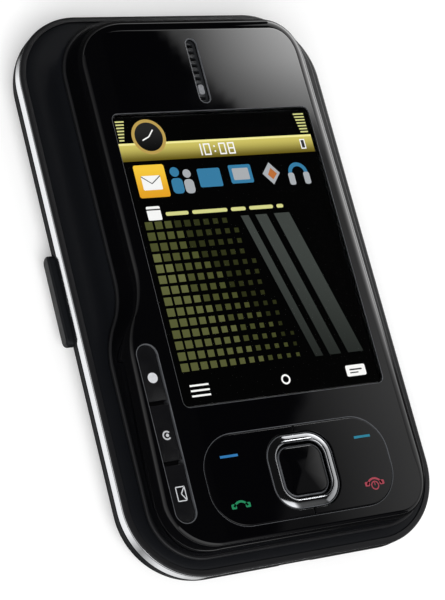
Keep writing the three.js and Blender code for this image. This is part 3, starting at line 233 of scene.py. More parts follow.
finishes = {
    "softTouchBlack": {
        "colour": (0.0042, 0.0047, 0.006), "roughness": 0.48, "specular": 0.25,
        "wear": {"dark": (0.004, 0.0045, 0.0058), "light": (0.012, 0.013, 0.016), "reach": 0.12},
        "gloss": {"size": 3.0, "low": 0.46, "high": 0.58},
        "relief": {"size": 0.16, "height": 0.006}},
    "satinSideKey": {
        "colour": (0.006, 0.0065, 0.0078), "roughness": 0.4, "specular": 0.2,
        "wear": {"dark": (0.0055, 0.006, 0.0074), "light": (0.016, 0.017, 0.019), "reach": 0.1},
        "gloss": {"size": 1.5, "low": 0.3, "high": 0.42},
        "relief": {"size": 0.12, "height": 0.003}},
    "pianoBlack": {
        "colour": (0.0012, 0.0012, 0.0016), "roughness": 0.05,
        "gloss": {"size": 9.0, "detail": 6, "low": 0.02, "high": 0.06, "fromLow": 0.4, "fromHigh": 0.75},
        "relief": {"size": 14.0, "detail": 1, "height": 0.003, "strength": 0.4}},
    "glossKey": {
        "colour": (0.004, 0.004, 0.0048), "roughness": 0.2, "specular": 0.55,
        "gloss": {"size": 2.5, "low": 0.16, "high": 0.25},
        "relief": {"size": 6.0, "height": 0.002}},
    "mouldedBlack": {
        "colour": (0.011, 0.011, 0.012), "roughness": 0.34, "specular": 0.4,
        "gloss": {"size": 1.8, "low": 0.28, "high": 0.42},
        "relief": {"size": 0.2, "detail": 3, "height": 0.004}},
    "keyCapSatin": {
        "colour": (0.02, 0.021, 0.024), "roughness": 0.34, "specular": 0.4,
        "tint": {"size": 4.0, "dark": (0.018, 0.019, 0.022), "light": (0.026, 0.027, 0.03)},
        "gloss": {"size": 1.2, "low": 0.28, "high": 0.4},
        "relief": {"size": 0.1, "height": 0.002}},
    # Painted highlight: a pale grey laid on thin beads and rims so that they show as the light lines edges
    # catch
    "paintedEdgeHighlightGrey": {
        "colour": (0.08, 0.083, 0.09), "roughness": 0.35, "specular": 0.4,
        "tint": {"size": 3.0, "dark": (0.065, 0.068, 0.074), "light": (0.095, 0.098, 0.106)},
        "gloss": {"size": 1.0, "low": 0.28, "high": 0.42}},
    "sensorPale": {
        "colour": (0.2, 0.205, 0.22), "roughness": 0.3, "specular": 0.4,
        "tint": {"size": 0.5, "dark": (0.176, 0.1804, 0.1936), "light": (0.2, 0.205, 0.22)}},
    "bandChrome": {
        "colour": (0.84, 0.85, 0.87), "roughness": 0.07, "metallic": 1.0,
        "gloss": {"size": 5.0, "detail": 5, "low": 0.05, "high": 0.12},
        "relief": {"size": 0.4, "stretch": (1, 1, 0.3), "height": 0.0012}},
    "smokedChrome": {
        "colour": (0.15, 0.155, 0.165), "roughness": 0.12, "metallic": 1.0,
        "gloss": {"size": 2.0, "detail": 5, "low": 0.08, "high": 0.16},
        "relief": {"size": 0.3, "height": 0.001}},
    "ringChrome": {
        "colour": (0.6, 0.61, 0.63), "roughness": 0.08, "metallic": 1.0,
        "gloss": {"size": 2.0, "low": 0.06, "high": 0.12},
        "relief": {"size": 0.3, "height": 0.0006}},
    "grilleMetal": {
        "colour": (0.018, 0.019, 0.021), "roughness": 0.4, "specular": 0.3,
        "gloss": {"size": 0.9, "low": 0.26, "high": 0.4},
        "relief": {"size": 0.2, "height": 0.003}},
    "pressedSteel": {
        "colour": (0.5, 0.51, 0.53), "roughness": 0.32, "metallic": 1.0,
        "tint": {"size": 6.0, "dark": (0.44, 0.45, 0.47), "light": (0.54, 0.55, 0.57)},
        "gloss": {"size": 0.6, "detail": 6, "stretch": (0.06, 1, 1), "low": 0.22, "high": 0.44},
        "relief": {"size": 0.25, "stretch": (0.05, 1, 1), "height": 0.002}},
    "contactGold": {
        "colour": (0.72, 0.5, 0.16), "roughness": 0.26, "metallic": 1.0,
        "gloss": {"size": 0.8, "low": 0.2, "high": 0.36},
        "relief": {"size": 0.3, "height": 0.002}},
    "boardGreen": {
        "colour": (0.015, 0.09, 0.045), "roughness": 0.38,
        "tint": {"size": 1.1, "detail": 1, "dark": (0.011, 0.07, 0.034), "light": (0.02, 0.11, 0.055),
                 "fromLow": 0.48, "fromHigh": 0.52},
        "relief": {"size": 0.8, "detail": 1, "height": 0.01}},
    "cellFilm": {
        "colour": (0.36, 0.37, 0.39), "roughness": 0.42, "specular": 0.4,
        "tint": {"size": 12.0, "dark": (0.33, 0.34, 0.36), "light": (0.39, 0.4, 0.42)},
        "relief": {"size": 2.5, "detail": 3, "height": 0.01}},
    "amberFilm": {
        "colour": (0.32, 0.12, 0.018), "roughness": 0.3,
        "tint": {"size": 0.7, "detail": 1, "stretch": (0.05, 1, 1), "dark": (0.26, 0.09, 0.012),
                 "light": (0.4, 0.16, 0.03), "fromLow": 0.48, "fromHigh": 0.52},
        "relief": {"size": 0.5, "stretch": (0.05, 1, 1), "height": 0.003}},
    "actuatorRubber": {
        "colour": (0.035, 0.035, 0.037), "roughness": 0.75, "specular": 0.25,
        "relief": {"size": 0.3, "detail": 3, "height": 0.008}},
    "lensGlass": {
        "colour": (0.012, 0.01, 0.02), "roughness": 0.03, "specular": 0.7, "coat": 1.0,
        "gloss": {"size": 3.0, "low": 0.02, "high": 0.05}},
    "clearWindow": {  # the low index stands for the coating that keeps the pane from mirroring
        "colour": (1, 1, 1), "roughness": 0.0, "index": 1.02,
        "tint": {"size": 20.0, "detail": 1, "dark": (0.97, 0.975, 0.98), "light": (1, 1, 1)}},
    "floorPaper": {
        "colour": (0.8, 0.8, 0.8), "roughness": 0.9, "specular": 0.0,
        "tint": {"size": 30.0, "detail": 3, "dark": (0.79, 0.79, 0.79), "light": (0.81, 0.81, 0.81)}},
}


# Inputs may hold values, or outputs of other nodes to link
def addNode(tree, kind, inputs=None, **settings):
    node = tree.nodes.new("ShaderNode" + kind)
    for name, value in settings.items():
        setattr(node, name, value)
    for socket, value in (inputs or {}).items():
        if isinstance(value, bpy.types.NodeSocket):
            tree.links.new(value, node.inputs[socket])
        else:
            node.inputs[socket].default_value = value
    return node


def grain(tree, size, detail=4.0, stretch=(1, 1, 1)):
    place = addNode(tree, "TexCoord").outputs["Object"]
    scaled = addNode(tree, "Mapping", {"Vector": place, "Scale": [s / (size * mm) for s in stretch]})
    noise = addNode(tree, "TexNoise", {"Vector": scaled.outputs["Vector"], "Scale": 1.0, "Detail": detail})
    return noise.outputs["Fac"]


def ramp(tree, source, dark, light, fromLow, fromHigh, socket):
    colours = addNode(tree, "ValToRGB", {"Fac": source})
    for element, position, colour in zip(colours.color_ramp.elements, (fromLow, fromHigh), (dark, light)):
        element.position = position
        element.color = (*colour, 1)
    tree.links.new(colours.outputs["Color"], socket)


def addTint(tree, shader, dark, light, fromLow=0.35, fromHigh=0.65, **grainFacts):
    ramp(tree, grain(tree, **grainFacts), dark, light, fromLow, fromHigh, shader.inputs["Base Color"])


def addWear(tree, shader, dark, light, reach):
    flat = 0.52  # pointiness of a surface that is nearly flat
    sharp = addNode(tree, "NewGeometry").outputs["Pointiness"]
    ramp(tree, sharp, dark, light, flat, flat + reach, shader.inputs["Base Color"])


def addGloss(tree, shader, low, high, fromLow=0.3, fromHigh=0.7, **grainFacts):
    span = addNode(tree, "MapRange", {"Value": grain(tree, **grainFacts), "From Min": fromLow,
                                      "From Max": fromHigh, "To Min": low, "To Max": high})
    tree.links.new(span.outputs["Result"], shader.inputs["Roughness"])


def addRelief(tree, shader, height, strength=1.0, detail=2, **grainFacts):
    noise = grain(tree, detail=detail, **grainFacts)
    bump = addNode(tree, "Bump", {"Height": noise, "Distance": height * mm, "Strength": strength})
    tree.links.new(bump.outputs["Normal"], shader.inputs["Normal"])


def makeFinish(name, facts):
    material = bpy.data.materials.new(name)
    material.use_nodes = True
    tree = material.node_tree
    shader = tree.nodes["Principled BSDF"]
    shader.inputs["Base Color"].default_value = (*facts["colour"], 1)
    shader.inputs["Roughness"].default_value = facts["roughness"]
    shader.inputs["Metallic"].default_value = facts.get("metallic", 0.0)
    shader.inputs["Specular IOR Level"].default_value = facts.get("specular", 0.5)
    shader.inputs["Coat Weight"].default_value = facts.get("coat", 0.0)
    if "index" in facts:
        shader.inputs["Transmission Weight"].default_value = 1.0
        shader.inputs["IOR"].default_value = facts["index"]
    for key, add in (("tint", addTint), ("wear", addWear), ("gloss", addGloss), ("relief", addRelief)):
        if key in facts:
            add(tree, shader, **facts[key])
    return material


def inkFinish(name, colour):
    return makeFinish(name, {"colour": colour, "roughness": 0.3, "specular": 0.4,
                             "tint": {"size": 0.5, "dark": [0.88 * c for c in colour], "light": colour}})


def glowFinish(name, colour, fade=None):
    glow = makeFinish(name, {"colour": (0, 0, 0), "roughness": 0.6, "specular": 0.0})
    tree = glow.node_tree
    shader = tree.nodes["Principled BSDF"]
    shader.inputs["Emission Color"].default_value = (*colour, 1)
    shader.inputs["Emission Strength"].default_value = 1.0
    if fade:
        place = addNode(tree, "TexCoord").outputs["Object"]
        apart = addNode(tree, "VectorMath", {0: place, 1: fade["towards"]}, operation="DOT_PRODUCT")
        span = addNode(tree, "MapRange", {"Value": apart.outputs["Value"], "From Min": fade["start"] * mm,
                                          "From Max": fade["end"] * mm}, interpolation_type="SMOOTHSTEP")
        ramp(tree, span.outputs["Result"], fade["dim"], colour, 0.0, 1.0, shader.inputs["Emission Color"])
    return glow


for finishName, finishFacts in finishes.items():
    makeFinish(finishName, finishFacts)
print("finishes ready:", len(bpy.data.materials))


# Keyboard half: rear shell, chrome band, soft deck, side keys

body = {"length": 96.2, "width": 57.6, "corner": 12.5, "steps": 28}
bodyOutline = centredRectangle(0, 0, body["width"], body["length"], body["corner"], body["steps"])
outwards = {"left": (-1, 0), "right": (1, 0), "top": (0, 1), "bottom": (0, -1)}


# A piece made lying flat, with its outside up, turns and moves to its side of the body
def setOnSide(piece, facts):
    outX, outY = outwards[facts["side"]]
    turn = Matrix(((abs(outY), 0, outX), (abs(outX), 0, outY), (0, 1, 0)))
    place = Vector((outX * body["width"] / 2 + abs(outY) * facts["along"],
                    outY * body["length"] / 2 + abs(outX) * facts["along"], facts["z"]))
    piece.data.transform(Matrix.Translation(place * mm) @ turn.to_4x4())
    if turn.determinant() < 0:
        piece.data.flip_normals()
    return piece


def sideCutter(facts, gap=0.0):
    length, height = facts["length"] + 2 * gap, facts["height"] + 2 * gap
    outline = slotOutline(0, 0, length, height, 8, 0.01)
    return setOnSide(prism("sideHole", outline, -6, 2), facts)


rearShell = {"rounding": 5.0, "rise": 6.0, "chamfer": 0.2, "top": 6.15, "wall": 1.4, "floor": 1.8,
             "steps": 14, "innerSteps": 6}
sideKeys = {
    "volume_rocker": {"side": "left", "along": -0.1, "z": 4.2, "length": 15.4, "height": 2.5, "stand": 1.0},
    "camera_key": {"side": "right", "along": -23.3, "z": 4.2, "length": 10.0, "height": 2.5, "stand": 0.6},
    "power_key": {"side": "top", "along": -7.0, "z": 4.2, "length": 9.0, "height": 2.5, "stand": 0.5}}
keyForm = {"gap": 0.3, "collar": 0.25, "collarLow": -2.9, "collarHigh": -2.2, "crown": 0.45, "reach": 0.6}
sockets = ({"side": "bottom", "along": 0, "z": 4.6, "length": 8.2, "height": 3.2},
           {"side": "top", "along": 14.0, "z": 4.3, "length": 3.2, "height": 3.2})
backCover = {"left": -23.5, "right": 23.5, "bottom": -42.7, "top": 23.6, "corner": 7.0,
             "gap": 0.1, "lip": 1.1}
bay = {"left": -18.0, "right": 18.0, "bottom": -37.2, "top": 18.1, "corner": 1.5, "depth": 3.0}
backScrew = {"x": 21.1, "radius": 1.6, "depth": 2.4}
camera = {"y": 33.45, "bezel": 4.6, "gap": 0.1, "depth": 2.0}
speaker = {"x": -16.128, "slots": 4, "pitch": 2.2, "width": 1.0, "length": 7.0, "depth": 1.9}


def shellOutside():
    part, levels = rearShell["chamfer"], []
    for i in range(rearShell["steps"] + 1):
        t = i / rearShell["steps"]
        angle = math.radians(90 * t)
        levels.append((rearShell["rounding"] * ((1 - part) * (1 - math.sin(angle)) + part * (1 - t)),
                       rearShell["rise"] * ((1 - part) * (1 - math.cos(angle)) + part * t)))
    return levels + [(0, rearShell["top"])]


def shellInside():
    rounding, wall, steps = rearShell["rounding"], rearShell["wall"], rearShell["innerSteps"]
    start = math.degrees(math.acos((rounding - rearShell["floor"]) / (rounding - wall)))
    levels = []
    for i in range(steps + 1):
        angle = math.radians(start + (90 - start) * i / steps)
        levels.append((wall + (rounding - wall) * (1 - math.sin(angle)),
                       rounding - (rounding - wall) * math.cos(angle)))
    return levels + [(wall, rearShell["top"] + 1)]


def buildRearShell():
    shell = loftSolid("rearShellSkin", bodyOutline, shellOutside())
    cameraRadius = camera["bezel"] + camera["gap"]
    cuts = [
        loftSolid("hollow", bodyOutline, shellInside()),
        prism("recess", rectangleOf(backCover, backCover["gap"]), -1, backCover["lip"]),
        prism("bay", rectangleOf(bay, 0, 4), 0, bay["depth"]),
        turnedSolid("cameraHole", 0, camera["y"], [(cameraRadius, -1), (cameraRadius, camera["depth"])]),
    ]
    for i in range(speaker["slots"]):
        x = speaker["x"] + (i - (speaker["slots"] - 1) / 2) * speaker["pitch"]
        outline = slotOutline(x, camera["y"], speaker["width"], speaker["length"], 6, 0.01)
        cuts.append(prism("slot", outline, -1, speaker["depth"]))
    for x in (-backScrew["x"], backScrew["x"]):
        for y in (bay["bottom"], bay["top"]):
            profile = [(backScrew["radius"], 0), (backScrew["radius"], backScrew["depth"])]
            cuts.append(turnedSolid("screwHole", x, y, profile, 24))
    cuts += [sideCutter(facts, keyForm["gap"]) for facts in sideKeys.values()]
    cuts += [sideCutter(facts) for facts in sockets]
    combine(shell, cuts)
    seat(shell, "keyboard_half", "soft_black", "softTouchBlack", "rear_shell")


trim = {"bottom": 6.25, "top": 8.42, "thickness": 0.8, "edge": 0.3, "shoulder": 0.25, "steps": 8}
bandLip = {"top": 8.72, "width": 1.0, "sink": 0.05, "step": 0.02, "inset": 0.06, "reach": 0.5, "rise": 0.25}


def buildChromeBand():
    edge, shoulder, steps = trim["edge"], trim["shoulder"], trim["steps"]
    section = [(trim["thickness"], trim["bottom"])]
    section += reversed(quarterRound(0, trim["bottom"] + edge, edge, -edge, steps))
    section += quarterRound(0, trim["top"] - shoulder, shoulder, shoulder, steps)
    section.append((trim["thickness"], trim["top"]))
    band = bandSolid("chromeBand", bodyOutline, section)
    seat(band, "keyboard_half", "chrome", "bandChrome", "trim_band", sharpDeg=50)


def buildBandLip():
    inset, foot = bandLip["inset"], trim["top"] - bandLip["sink"]
    section = [(bandLip["width"], foot), (2 * inset, foot), (inset, trim["top"] + bandLip["step"])]
    section += quarterRound(inset, bandLip["top"] - bandLip["rise"], bandLip["reach"], bandLip["rise"], 6)
    section.append((bandLip["width"], bandLip["top"]))
    lip = bandSolid("bandLip", bodyOutline, section)
    seat(lip, "keyboard_half", "soft_black", "mouldedBlack", sharpDeg=50)


deck = {"inset": 0.95, "top": 8.9, "under": 7.7, "edge": 0.55, "dome": 2.0, "skirt": 6.25, "skirtWidth": 1.1,
        "bedLow": 6.8, "bedHigh": 7.8, "floor": 7.6, "above": 10.0}
well = {"left": -19.6, "right": 2.4, "bottom": -41.6, "top": 41.6, "corner": 1.4}
pocket = {"left": 9.3, "right": 25.6, "bottom": -39.6, "top": 39.6, "corner": 2.0, "wall": 0.6, "gap": 0.1}
channel = {"left": 4.4, "right": 25.6, "bottom": -22.416, "top": -12.216, "corner": 0.1, "wall": 0.5}
stake = {"x": (11.7, 23.2), "y": 30.4, "sides": 32,
         "profile": [(0.7, 7.5), (0.7, 8.05), (1.2, 8.06), (1.18, 8.26), (1.0, 8.35)]}


def buildDeck():
    rim = quarterRound(deck["inset"], deck["top"] - deck["edge"], deck["dome"], deck["edge"], 10)
    plate = loftSolid("softDeck", bodyOutline, [(deck["inset"], deck["skirt"])] + rim)
    channelBed = roundRectangle(channel["left"] - channel["wall"], channel["right"],
                                channel["bottom"] - channel["wall"], channel["top"] + channel["wall"], 0.2, 2)
    under = prism("under", bodyOutline, deck["skirt"] - 1, deck["under"], deck["inset"] + deck["skirtWidth"])
    combine(plate, [under])
    combine(plate, [
        prism("pocketBed", rectangleOf(pocket, pocket["wall"]), deck["bedLow"], deck["bedHigh"]),
        prism("channelBed", channelBed, deck["bedLow"], deck["bedHigh"]),
    ], "UNION")
    combine(plate, [
        prism("well", rectangleOf(well), 5, deck["above"]),
        prism("pocket", rectangleOf(pocket, pocket["gap"]), deck["floor"], deck["above"]),
        prism("channel", rectangleOf(channel, 0, 2), deck["floor"], deck["above"]),
    ])
    for x in stake["x"]:
        for y in (-stake["y"], stake["y"]):
            combine(plate, [turnedSolid("stake", x, y, stake["profile"], stake["sides"])], "UNION")
    seat(plate, "keyboard_half", "soft_black", "softTouchBlack", "keyboard_deck")


def buildSideKeys():
    collar, collarTop, crown = keyForm["collar"], keyForm["collarHigh"], keyForm["crown"]
    for node, facts in sideKeys.items():
        outline = slotOutline(0, 0, facts["length"], facts["height"], 14)
        levels = [(collar, keyForm["collarLow"]), (collar, collarTop), (0.0, collarTop)]
        levels += quarterRound(0, facts["stand"] - crown, keyForm["reach"], crown, 8)
        cap = setOnSide(loftSolid(node + "Cap", outline, levels), facts)
        seat(cap, node, "side_key", "satinSideKey", node)


buildRearShell()
buildChromeBand()
buildBandLip()
buildDeck()
buildSideKeys()
print("keyboard half built")


# Display half: frame rim, glossy cover, window

upper = {"right": 27.0, "left": -25.65, "top": 46.45, "bottom": -45.65, "corner": 10.5, "lowLeftCorner": 8.8,
         "waistStep": 4.15, "waistLength": 14.5, "waistTop": 0.7, "steps": 28}
window = {"left": -17.9, "right": 19.9, "bottom": -22.9, "top": 27.1, "corner": 1.2,
          "thickness": 0.75, "gap": 0.1, "edge": 0.1, "chamfer": 0.03}
cluster = {"left": -17.3, "right": 16.9, "bottom": -42.7, "top": -27.7, "corner": 6.2,
           "low": 14.0, "gap": 0.16, "edge": 0.22, "bevel": 0.1, "split": 0.1, "navGap": 0.2}
navigation = {"x": 0.4, "y": -35.2, "size": 12.0, "corner": 4.0}
shortcuts = {"left": -23.85, "right": -20.05, "top": -11.8, "bottom": -40.65, "under": 11.0, "count": 3}
earSlot = {"x": 0.35, "y": 34.3, "width": 2.3, "length": 12.0}
# Each side stands in by its own amount at its foot, where its slant would meet the face, and where the face
# is flat. The lower end is a little wider at the shoulder, from widerFrom to widerTo.
cover = {"base": 10.2, "face": 15.5, "turn": 2.5, "wall": 1.3, "steps": 24, "hollowSteps": 6, "lip": 0.7,
         "seatDepth": 0.8, "edge": 0.12,
         "wider": 0.75, "widerFrom": -8.0, "widerTo": -36.0,
         "foot": {"left": 0.3, "right": 1.0, "top": 0.65, "bottom": 0.3},
         "lean": {"left": 1.2, "right": 4.9, "top": 2.6, "bottom": 0.6},
         "flat": {"left": 2.0, "right": 6.4, "top": 4.7, "bottom": 1.5}}


def waistedOutline():
    waistLeft = upper["left"] + upper["waistStep"]
    waistBottom = upper["waistTop"] - upper["waistLength"]
    swing = 2 * math.atan(upper["waistStep"] / upper["waistLength"])
    bend = upper["waistLength"] / (2 * math.sin(swing))
    swingDeg, corner, lowLeft = math.degrees(swing), upper["corner"], upper["lowLeftCorner"]
    return roundOutline([
        (upper["right"] - corner, upper["top"] - corner, corner, 0, 90, False),
        (waistLeft + corner, upper["top"] - corner, corner, 90, 180, False),
        (waistLeft - bend, upper["waistTop"], bend, 0, -swingDeg, True),
        (upper["left"] + bend, waistBottom, bend, 180 - swingDeg, 180, False),
        (upper["left"] + lowLeft, upper["bottom"] + lowLeft, lowLeft, 180, 270, False),
        (upper["right"] - corner, upper["bottom"] + corner, corner, 270, 360, False),
    ], upper["steps"])


upperOutline = waistedOutline()
windowOutline = rectangleOf(window, 0, 8)
clusterOutline = rectangleOf(cluster, 0, 16)
navOutline = centredRectangle(navigation["x"], navigation["y"], navigation["size"], navigation["size"],
                              navigation["corner"], 16)
shortcutOutline = roundRectangle(shortcuts["left"], shortcuts["right"], shortcuts["bottom"], shortcuts["top"],
                                 (shortcuts["right"] - shortcuts["left"]) / 2 - 0.02, 14)
earOutline = slotOutline(earSlot["x"], earSlot["y"], earSlot["width"], earSlot["length"], 12)


def mixSides(first, second, amount):
    return {side: first[side] + (second[side] - first[side]) * amount for side in first}


def coverLevels(steps):
    slant = (cover["face"] - cover["turn"] - cover["base"]) / (cover["face"] - cover["base"])
    levels = [(cover["foot"], cover["base"])]
    for i in range(steps + 1):
        t = i / steps
        lean = (1 - t) ** 2 * slant + 2 * t * (1 - t) + t * t
        slanted = mixSides(cover["foot"], cover["lean"], lean)
        flat = mixSides(cover["foot"], cover["flat"], lean)
        levels.append((mixSides(slanted, flat, t * t), cover["face"] - cover["turn"] * (1 - t) ** 2))
    return levels


def sidedRing(sides, extra, z):
    rise = shareOf(z, cover["base"], cover["face"] - cover["turn"])
    ring = []
    for x, y, nx, ny in upperOutline:
        across, along = sides["right" if nx > 0 else "left"], sides["top" if ny > 0 else "bottom"]
        low = softStep(shareOf(y, cover["widerFrom"], cover["widerTo"]))
        inWaist = nx < 0 and upper["waistTop"] - upper["waistLength"] < y < upper["waistTop"]
        inset = extra + (sides["left"] if inWaist else across * nx * nx + along * ny * ny)
        inset -= cover["wider"] * low * rise * nx * nx
        ring.append((x - inset * nx, y - inset * ny, z))
    return ring


def coverSkin(name, sink=0.0):
    levels = coverLevels(cover["steps"])
    return solidFromRings(name, [sidedRing(sides, sink, z - sink) for sides, z in levels])


def coverHollow():
    levels, wall = coverLevels(cover["hollowSteps"]), cover["wall"]
    rings = [sidedRing(levels[0][0], wall, levels[0][1] - 1)]
    for sides, z in levels:
        rise = (z - cover["base"]) / (cover["face"] - cover["base"])
        rings.append(sidedRing(sides, wall * (1 - rise), z - wall * rise))
    return solidFromRings("hollow", rings)


def buildCover():
    skin = coverSkin("glossCover")
    combine(skin, [
        coverHollow(),
        prism("windowSeat", windowOutline, cover["face"] - cover["seatDepth"], overFace),
        prism("windowHole", windowOutline, underFace, 15, cover["lip"]),
        prism("clusterHole", clusterOutline, underFace, overFace),
        prism("shortcutHole", shortcutOutline, shortcuts["under"], overFace),
        prism("earHole", earOutline, underFace, overFace),
    ])
    roundEdges(skin, cover["edge"], 2, 50)
    bakeModifiers(skin)
    seat(skin, "display_half", "gloss_black", "pianoBlack", "front_cover", sharpDeg=60)


# Inset and height of each point, round on the outside
rimSection = [(2.2, 9.2), (0.25, 9.2), (0.07, 9.27), (0, 9.45),
              (0, 9.85), (0.07, 10.03), (0.25, 10.1), (2.2, 10.1)]


def buildFrameRim():
    rim = bandSolid("frameRim", upperOutline, rimSection)
    seat(rim, "display_half", "black_plastic", "mouldedBlack", "upper_frame", sharpDeg=50)


def buildWindow():
    gap, face = window["gap"], cover["face"]
    pane = loftSolid("windowPane", windowOutline, [
        (gap, face - window["thickness"]), (gap, face - window["edge"]),
        (gap + window["chamfer"], face - window["chamfer"]), (gap + window["edge"], face)])
    seat(pane, "display_half", "window", "clearWindow", "display_window", sharpDeg=20)


# Fine beads round the openings, pale grey as a painted edge highlight: outline, width and depth of each
beads = {"windowBead": (windowOutline, 0.1, 0.25), "clusterBead": (clusterOutline, 0.1, 0.25),
         "shortcutBead": (shortcutOutline, 0.14, 1.8), "earBead": (earOutline, 0.2, 0.25)}
beadSink = 0.015
shortcutBedLevels = [(-0.3, 13.2), (-0.3, 13.45), (-0.2, 13.5)]


def buildBeads():
    top = cover["face"] - beadSink
    for name, (outline, width, depth) in beads.items():
        foot = top - depth
        bead = bandSolid(name, outline, [(width, foot), (-0.03, foot), (-0.03, top - 0.04), (0.0, top),
                                         (width * 0.6, top), (width, top - 0.05)])
        if name == "shortcutBead":  # it follows the shoulder of the cover
            combine(bead, [coverSkin("beadLimit", 0.02)], "INTERSECT")
        # the bead's pale grey is a painted edge highlight
        seat(bead, "display_half", "gloss_black", "paintedEdgeHighlightGrey", sharpDeg=50)
    bed = loftSolid("shortcutBed", shortcutOutline, shortcutBedLevels)
    seat(bed, "display_half", "gloss_black", "mouldedBlack")


lightSensor = {"left": -0.15, "right": 0.95, "bottom": 30.2, "top": 32.0, "corner": 0.4}


def buildLightSensor():
    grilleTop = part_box("earpiece_grille")[1][2] / mm
    spot = loftSolid("lightSensor", rectangleOf(lightSensor, 0, 6),
                     [(0, grilleTop - 0.1), (0, grilleTop + 0.12), (0.08, grilleTop + 0.2)])
    seat(spot, "display_half", None, "sensorPale")


buildCover()
buildFrameRim()
buildWindow()
buildBeads()
buildLightSensor()
print("display half built")


# Key cluster

def buildPlates():
    far = 60.0  # beyond the phone
    edge, split = cluster["edge"], cluster["split"]
    for name, hand in (("left_key_plate", -1), ("right_key_plate", 1)):
        levels = [(cluster["gap"], cluster["low"])]
        levels += quarterRound(cluster["gap"], cover["face"] - edge, edge, edge, 5)
        plate = loftSolid(name + "Skin", clusterOutline, levels)
        middle = navigation["x"] + hand * split
        left, right = (middle, far) if hand < 0 else (-far, middle)
        other = roundRectangle(left, right, -far, 0, 0.01, 1)
        combine(plate, [prism("otherHalf", other, underFace, overFace),
                        prism("navHole", navOutline, underFace, overFace, -cluster["navGap"])])
        roundEdges(plate, cluster["bevel"], 2, 50)
        bakeModifiers(plate)
        seat(plate, name, "gloss_black", "pianoBlack", name, sharpDeg=60)


# Inset from the outside of the ring, and height
navRingSection = [(0.0, 14.1), (0.0, 15.12), (0.03, 15.2), (0.1, 15.26), (0.35, 15.42), (0.65, 15.58),
                  (0.9, 15.68), (1.08, 15.735), (1.2, 15.75), (1.32, 15.73), (1.42, 15.65), (1.5, 15.45),
                  (1.6, 14.9), (1.65, 14.1)]
navRingEdgeSection = [(0.12, 15.0), (-0.05, 15.0), (-0.05, 15.22), (0.0, 15.28), (0.1, 15.3)]
selectKey = {"inset": 1.9, "low": 14.2, "side": 15.05, "round": 0.5, "rise": 0.29, "top": 15.34,
             "crown": 0.09, "crownShares": (0.94, 0.86, 0.75, 0.62, 0.48, 0.34, 0.2, 0.06)}
selectEdgeSection = [(0.22, 15.2), (-0.03, 15.0), (-0.03, 15.14), (0.06, 15.28), (0.16, 15.36)]


def buildNavigation():
    ring = bandSolid("navRing", navOutline, navRingSection)
    seat(ring, "navigation_ring", "dark_chrome", "ringChrome", "navigation_ring", sharpDeg=50)
    # The edge ring's pale grey is a painted edge highlight
    edge = bandSolid("navRingEdge", navOutline, navRingEdgeSection)
    seat(edge, "navigation_ring", "dark_chrome", "paintedEdgeHighlightGrey", sharpDeg=50)


def buildSelectKey():
    inset, reach, x0, y0 = selectKey["inset"], selectKey["round"], navigation["x"], navigation["y"]
    side = [(inset, selectKey["low"])] + quarterRound(inset, selectKey["side"], reach, selectKey["rise"], 6)
    rings = levelRings(navOutline, side)
    for share in selectKey["crownShares"]:
        z = selectKey["top"] + selectKey["crown"] * (1 - share * share)
        rings.append([(x0 + share * (x - x0), y0 + share * (y - y0), z)
                      for x, y in ringAt(navOutline, inset + reach)])
    key = solidFromRings("selectKeyCap", rings)
    seat(key, "select_key", "gloss_black", "pianoBlack", "select_key", sharpDeg=60)
    # The edge ring's pale grey is a painted edge highlight
    edge = bandSolid("selectEdge", navOutline, [(inset + out, z) for out, z in selectEdgeSection])
    seat(edge, "select_key", "dark_chrome", "paintedEdgeHighlightGrey", sharpDeg=50)


shortcutPad = {"low": 13.9, "sink": 0.1, "dish": 0.3, "dishShare": 1.02, "dishSteps": 20, "groove": 0.36,
               "edge": 0.25, "gap": 0.24}


# A round dish across the key, open to the top
def dishCutter(left, right, middle, length, depth, top):
    radius = length * length / (8 * depth)
    arc = []
    for i in range(shortcutPad["dishSteps"] + 1):
        y = -length * 0.5 + length * i / shortcutPad["dishSteps"]
        arc.append((middle + y, top - depth + radius - math.sqrt(radius * radius - y * y)))
    arc += [(middle + length * 0.5, top + 3), (middle - length * 0.5, top + 3)]

    def build(shape):
        near = [shape.verts.new((left * mm, y * mm, z * mm)) for y, z in arc]
        far = [shape.verts.new((right * mm, y * mm, z * mm)) for y, z in arc]
        shape.faces.new(near)
        shape.faces.new(list(reversed(far)))
        for i in range(len(arc)):
            j = (i + 1) % len(arc)
            shape.faces.new((near[i], far[i], far[j], near[j]))
    return pieceFrom("dish", meshOf("dish", build))


def buildShortcutKeys():
    left, right, last = shortcuts["left"] - 1, shortcuts["right"] + 1, shortcuts["count"] - 1
    pitch = (shortcuts["top"] - shortcuts["bottom"]) / shortcuts["count"]
    for i in range(shortcuts["count"]):
        high = shortcuts["top"] - i * pitch
        low = high - pitch
        node = f"shortcut_key_{i + 1}"
        cap = coverSkin(node + "Cap", shortcutPad["sink"])
        bottom = low + shortcutPad["groove"] if i < last else low - 1
        top = high - shortcutPad["groove"] if i else high + 1
        combine(cap, [prism("segment", roundRectangle(left, right, bottom, top, 0.1, 1),
                            shortcutPad["low"], overFace),
                      prism("trough", shortcutOutline, shortcuts["under"], overFace, shortcutPad["gap"])],
                "INTERSECT")
        combine(cap, [dishCutter(left, right, (low + high) / 2, pitch * shortcutPad["dishShare"],
                                 shortcutPad["dish"], cover["face"] - shortcutPad["sink"])])
        roundEdges(cap, shortcutPad["edge"], 3, 40)
        bakeModifiers(cap)
        seat(cap, node, "gloss_black", "glossKey", node, sharpDeg=60)


buildPlates()
buildNavigation()
buildSelectKey()
buildShortcutKeys()
print("keys built")


# Flat shapes of the picture and the marks

def bar(left, right, bottom, top):
    return [(left, bottom), (right, bottom), (right, top), (left, top)]


def softBar(left, right, bottom, top, radius):
    return ringAt(roundRectangle(left, right, bottom, top, radius, 5), 0)


def disc(x, y, radius, sides):
    turns = [2 * math.pi * i / sides for i in range(sides)]
    return [(x + radius * math.cos(turn), y + radius * math.sin(turn)) for turn in turns]


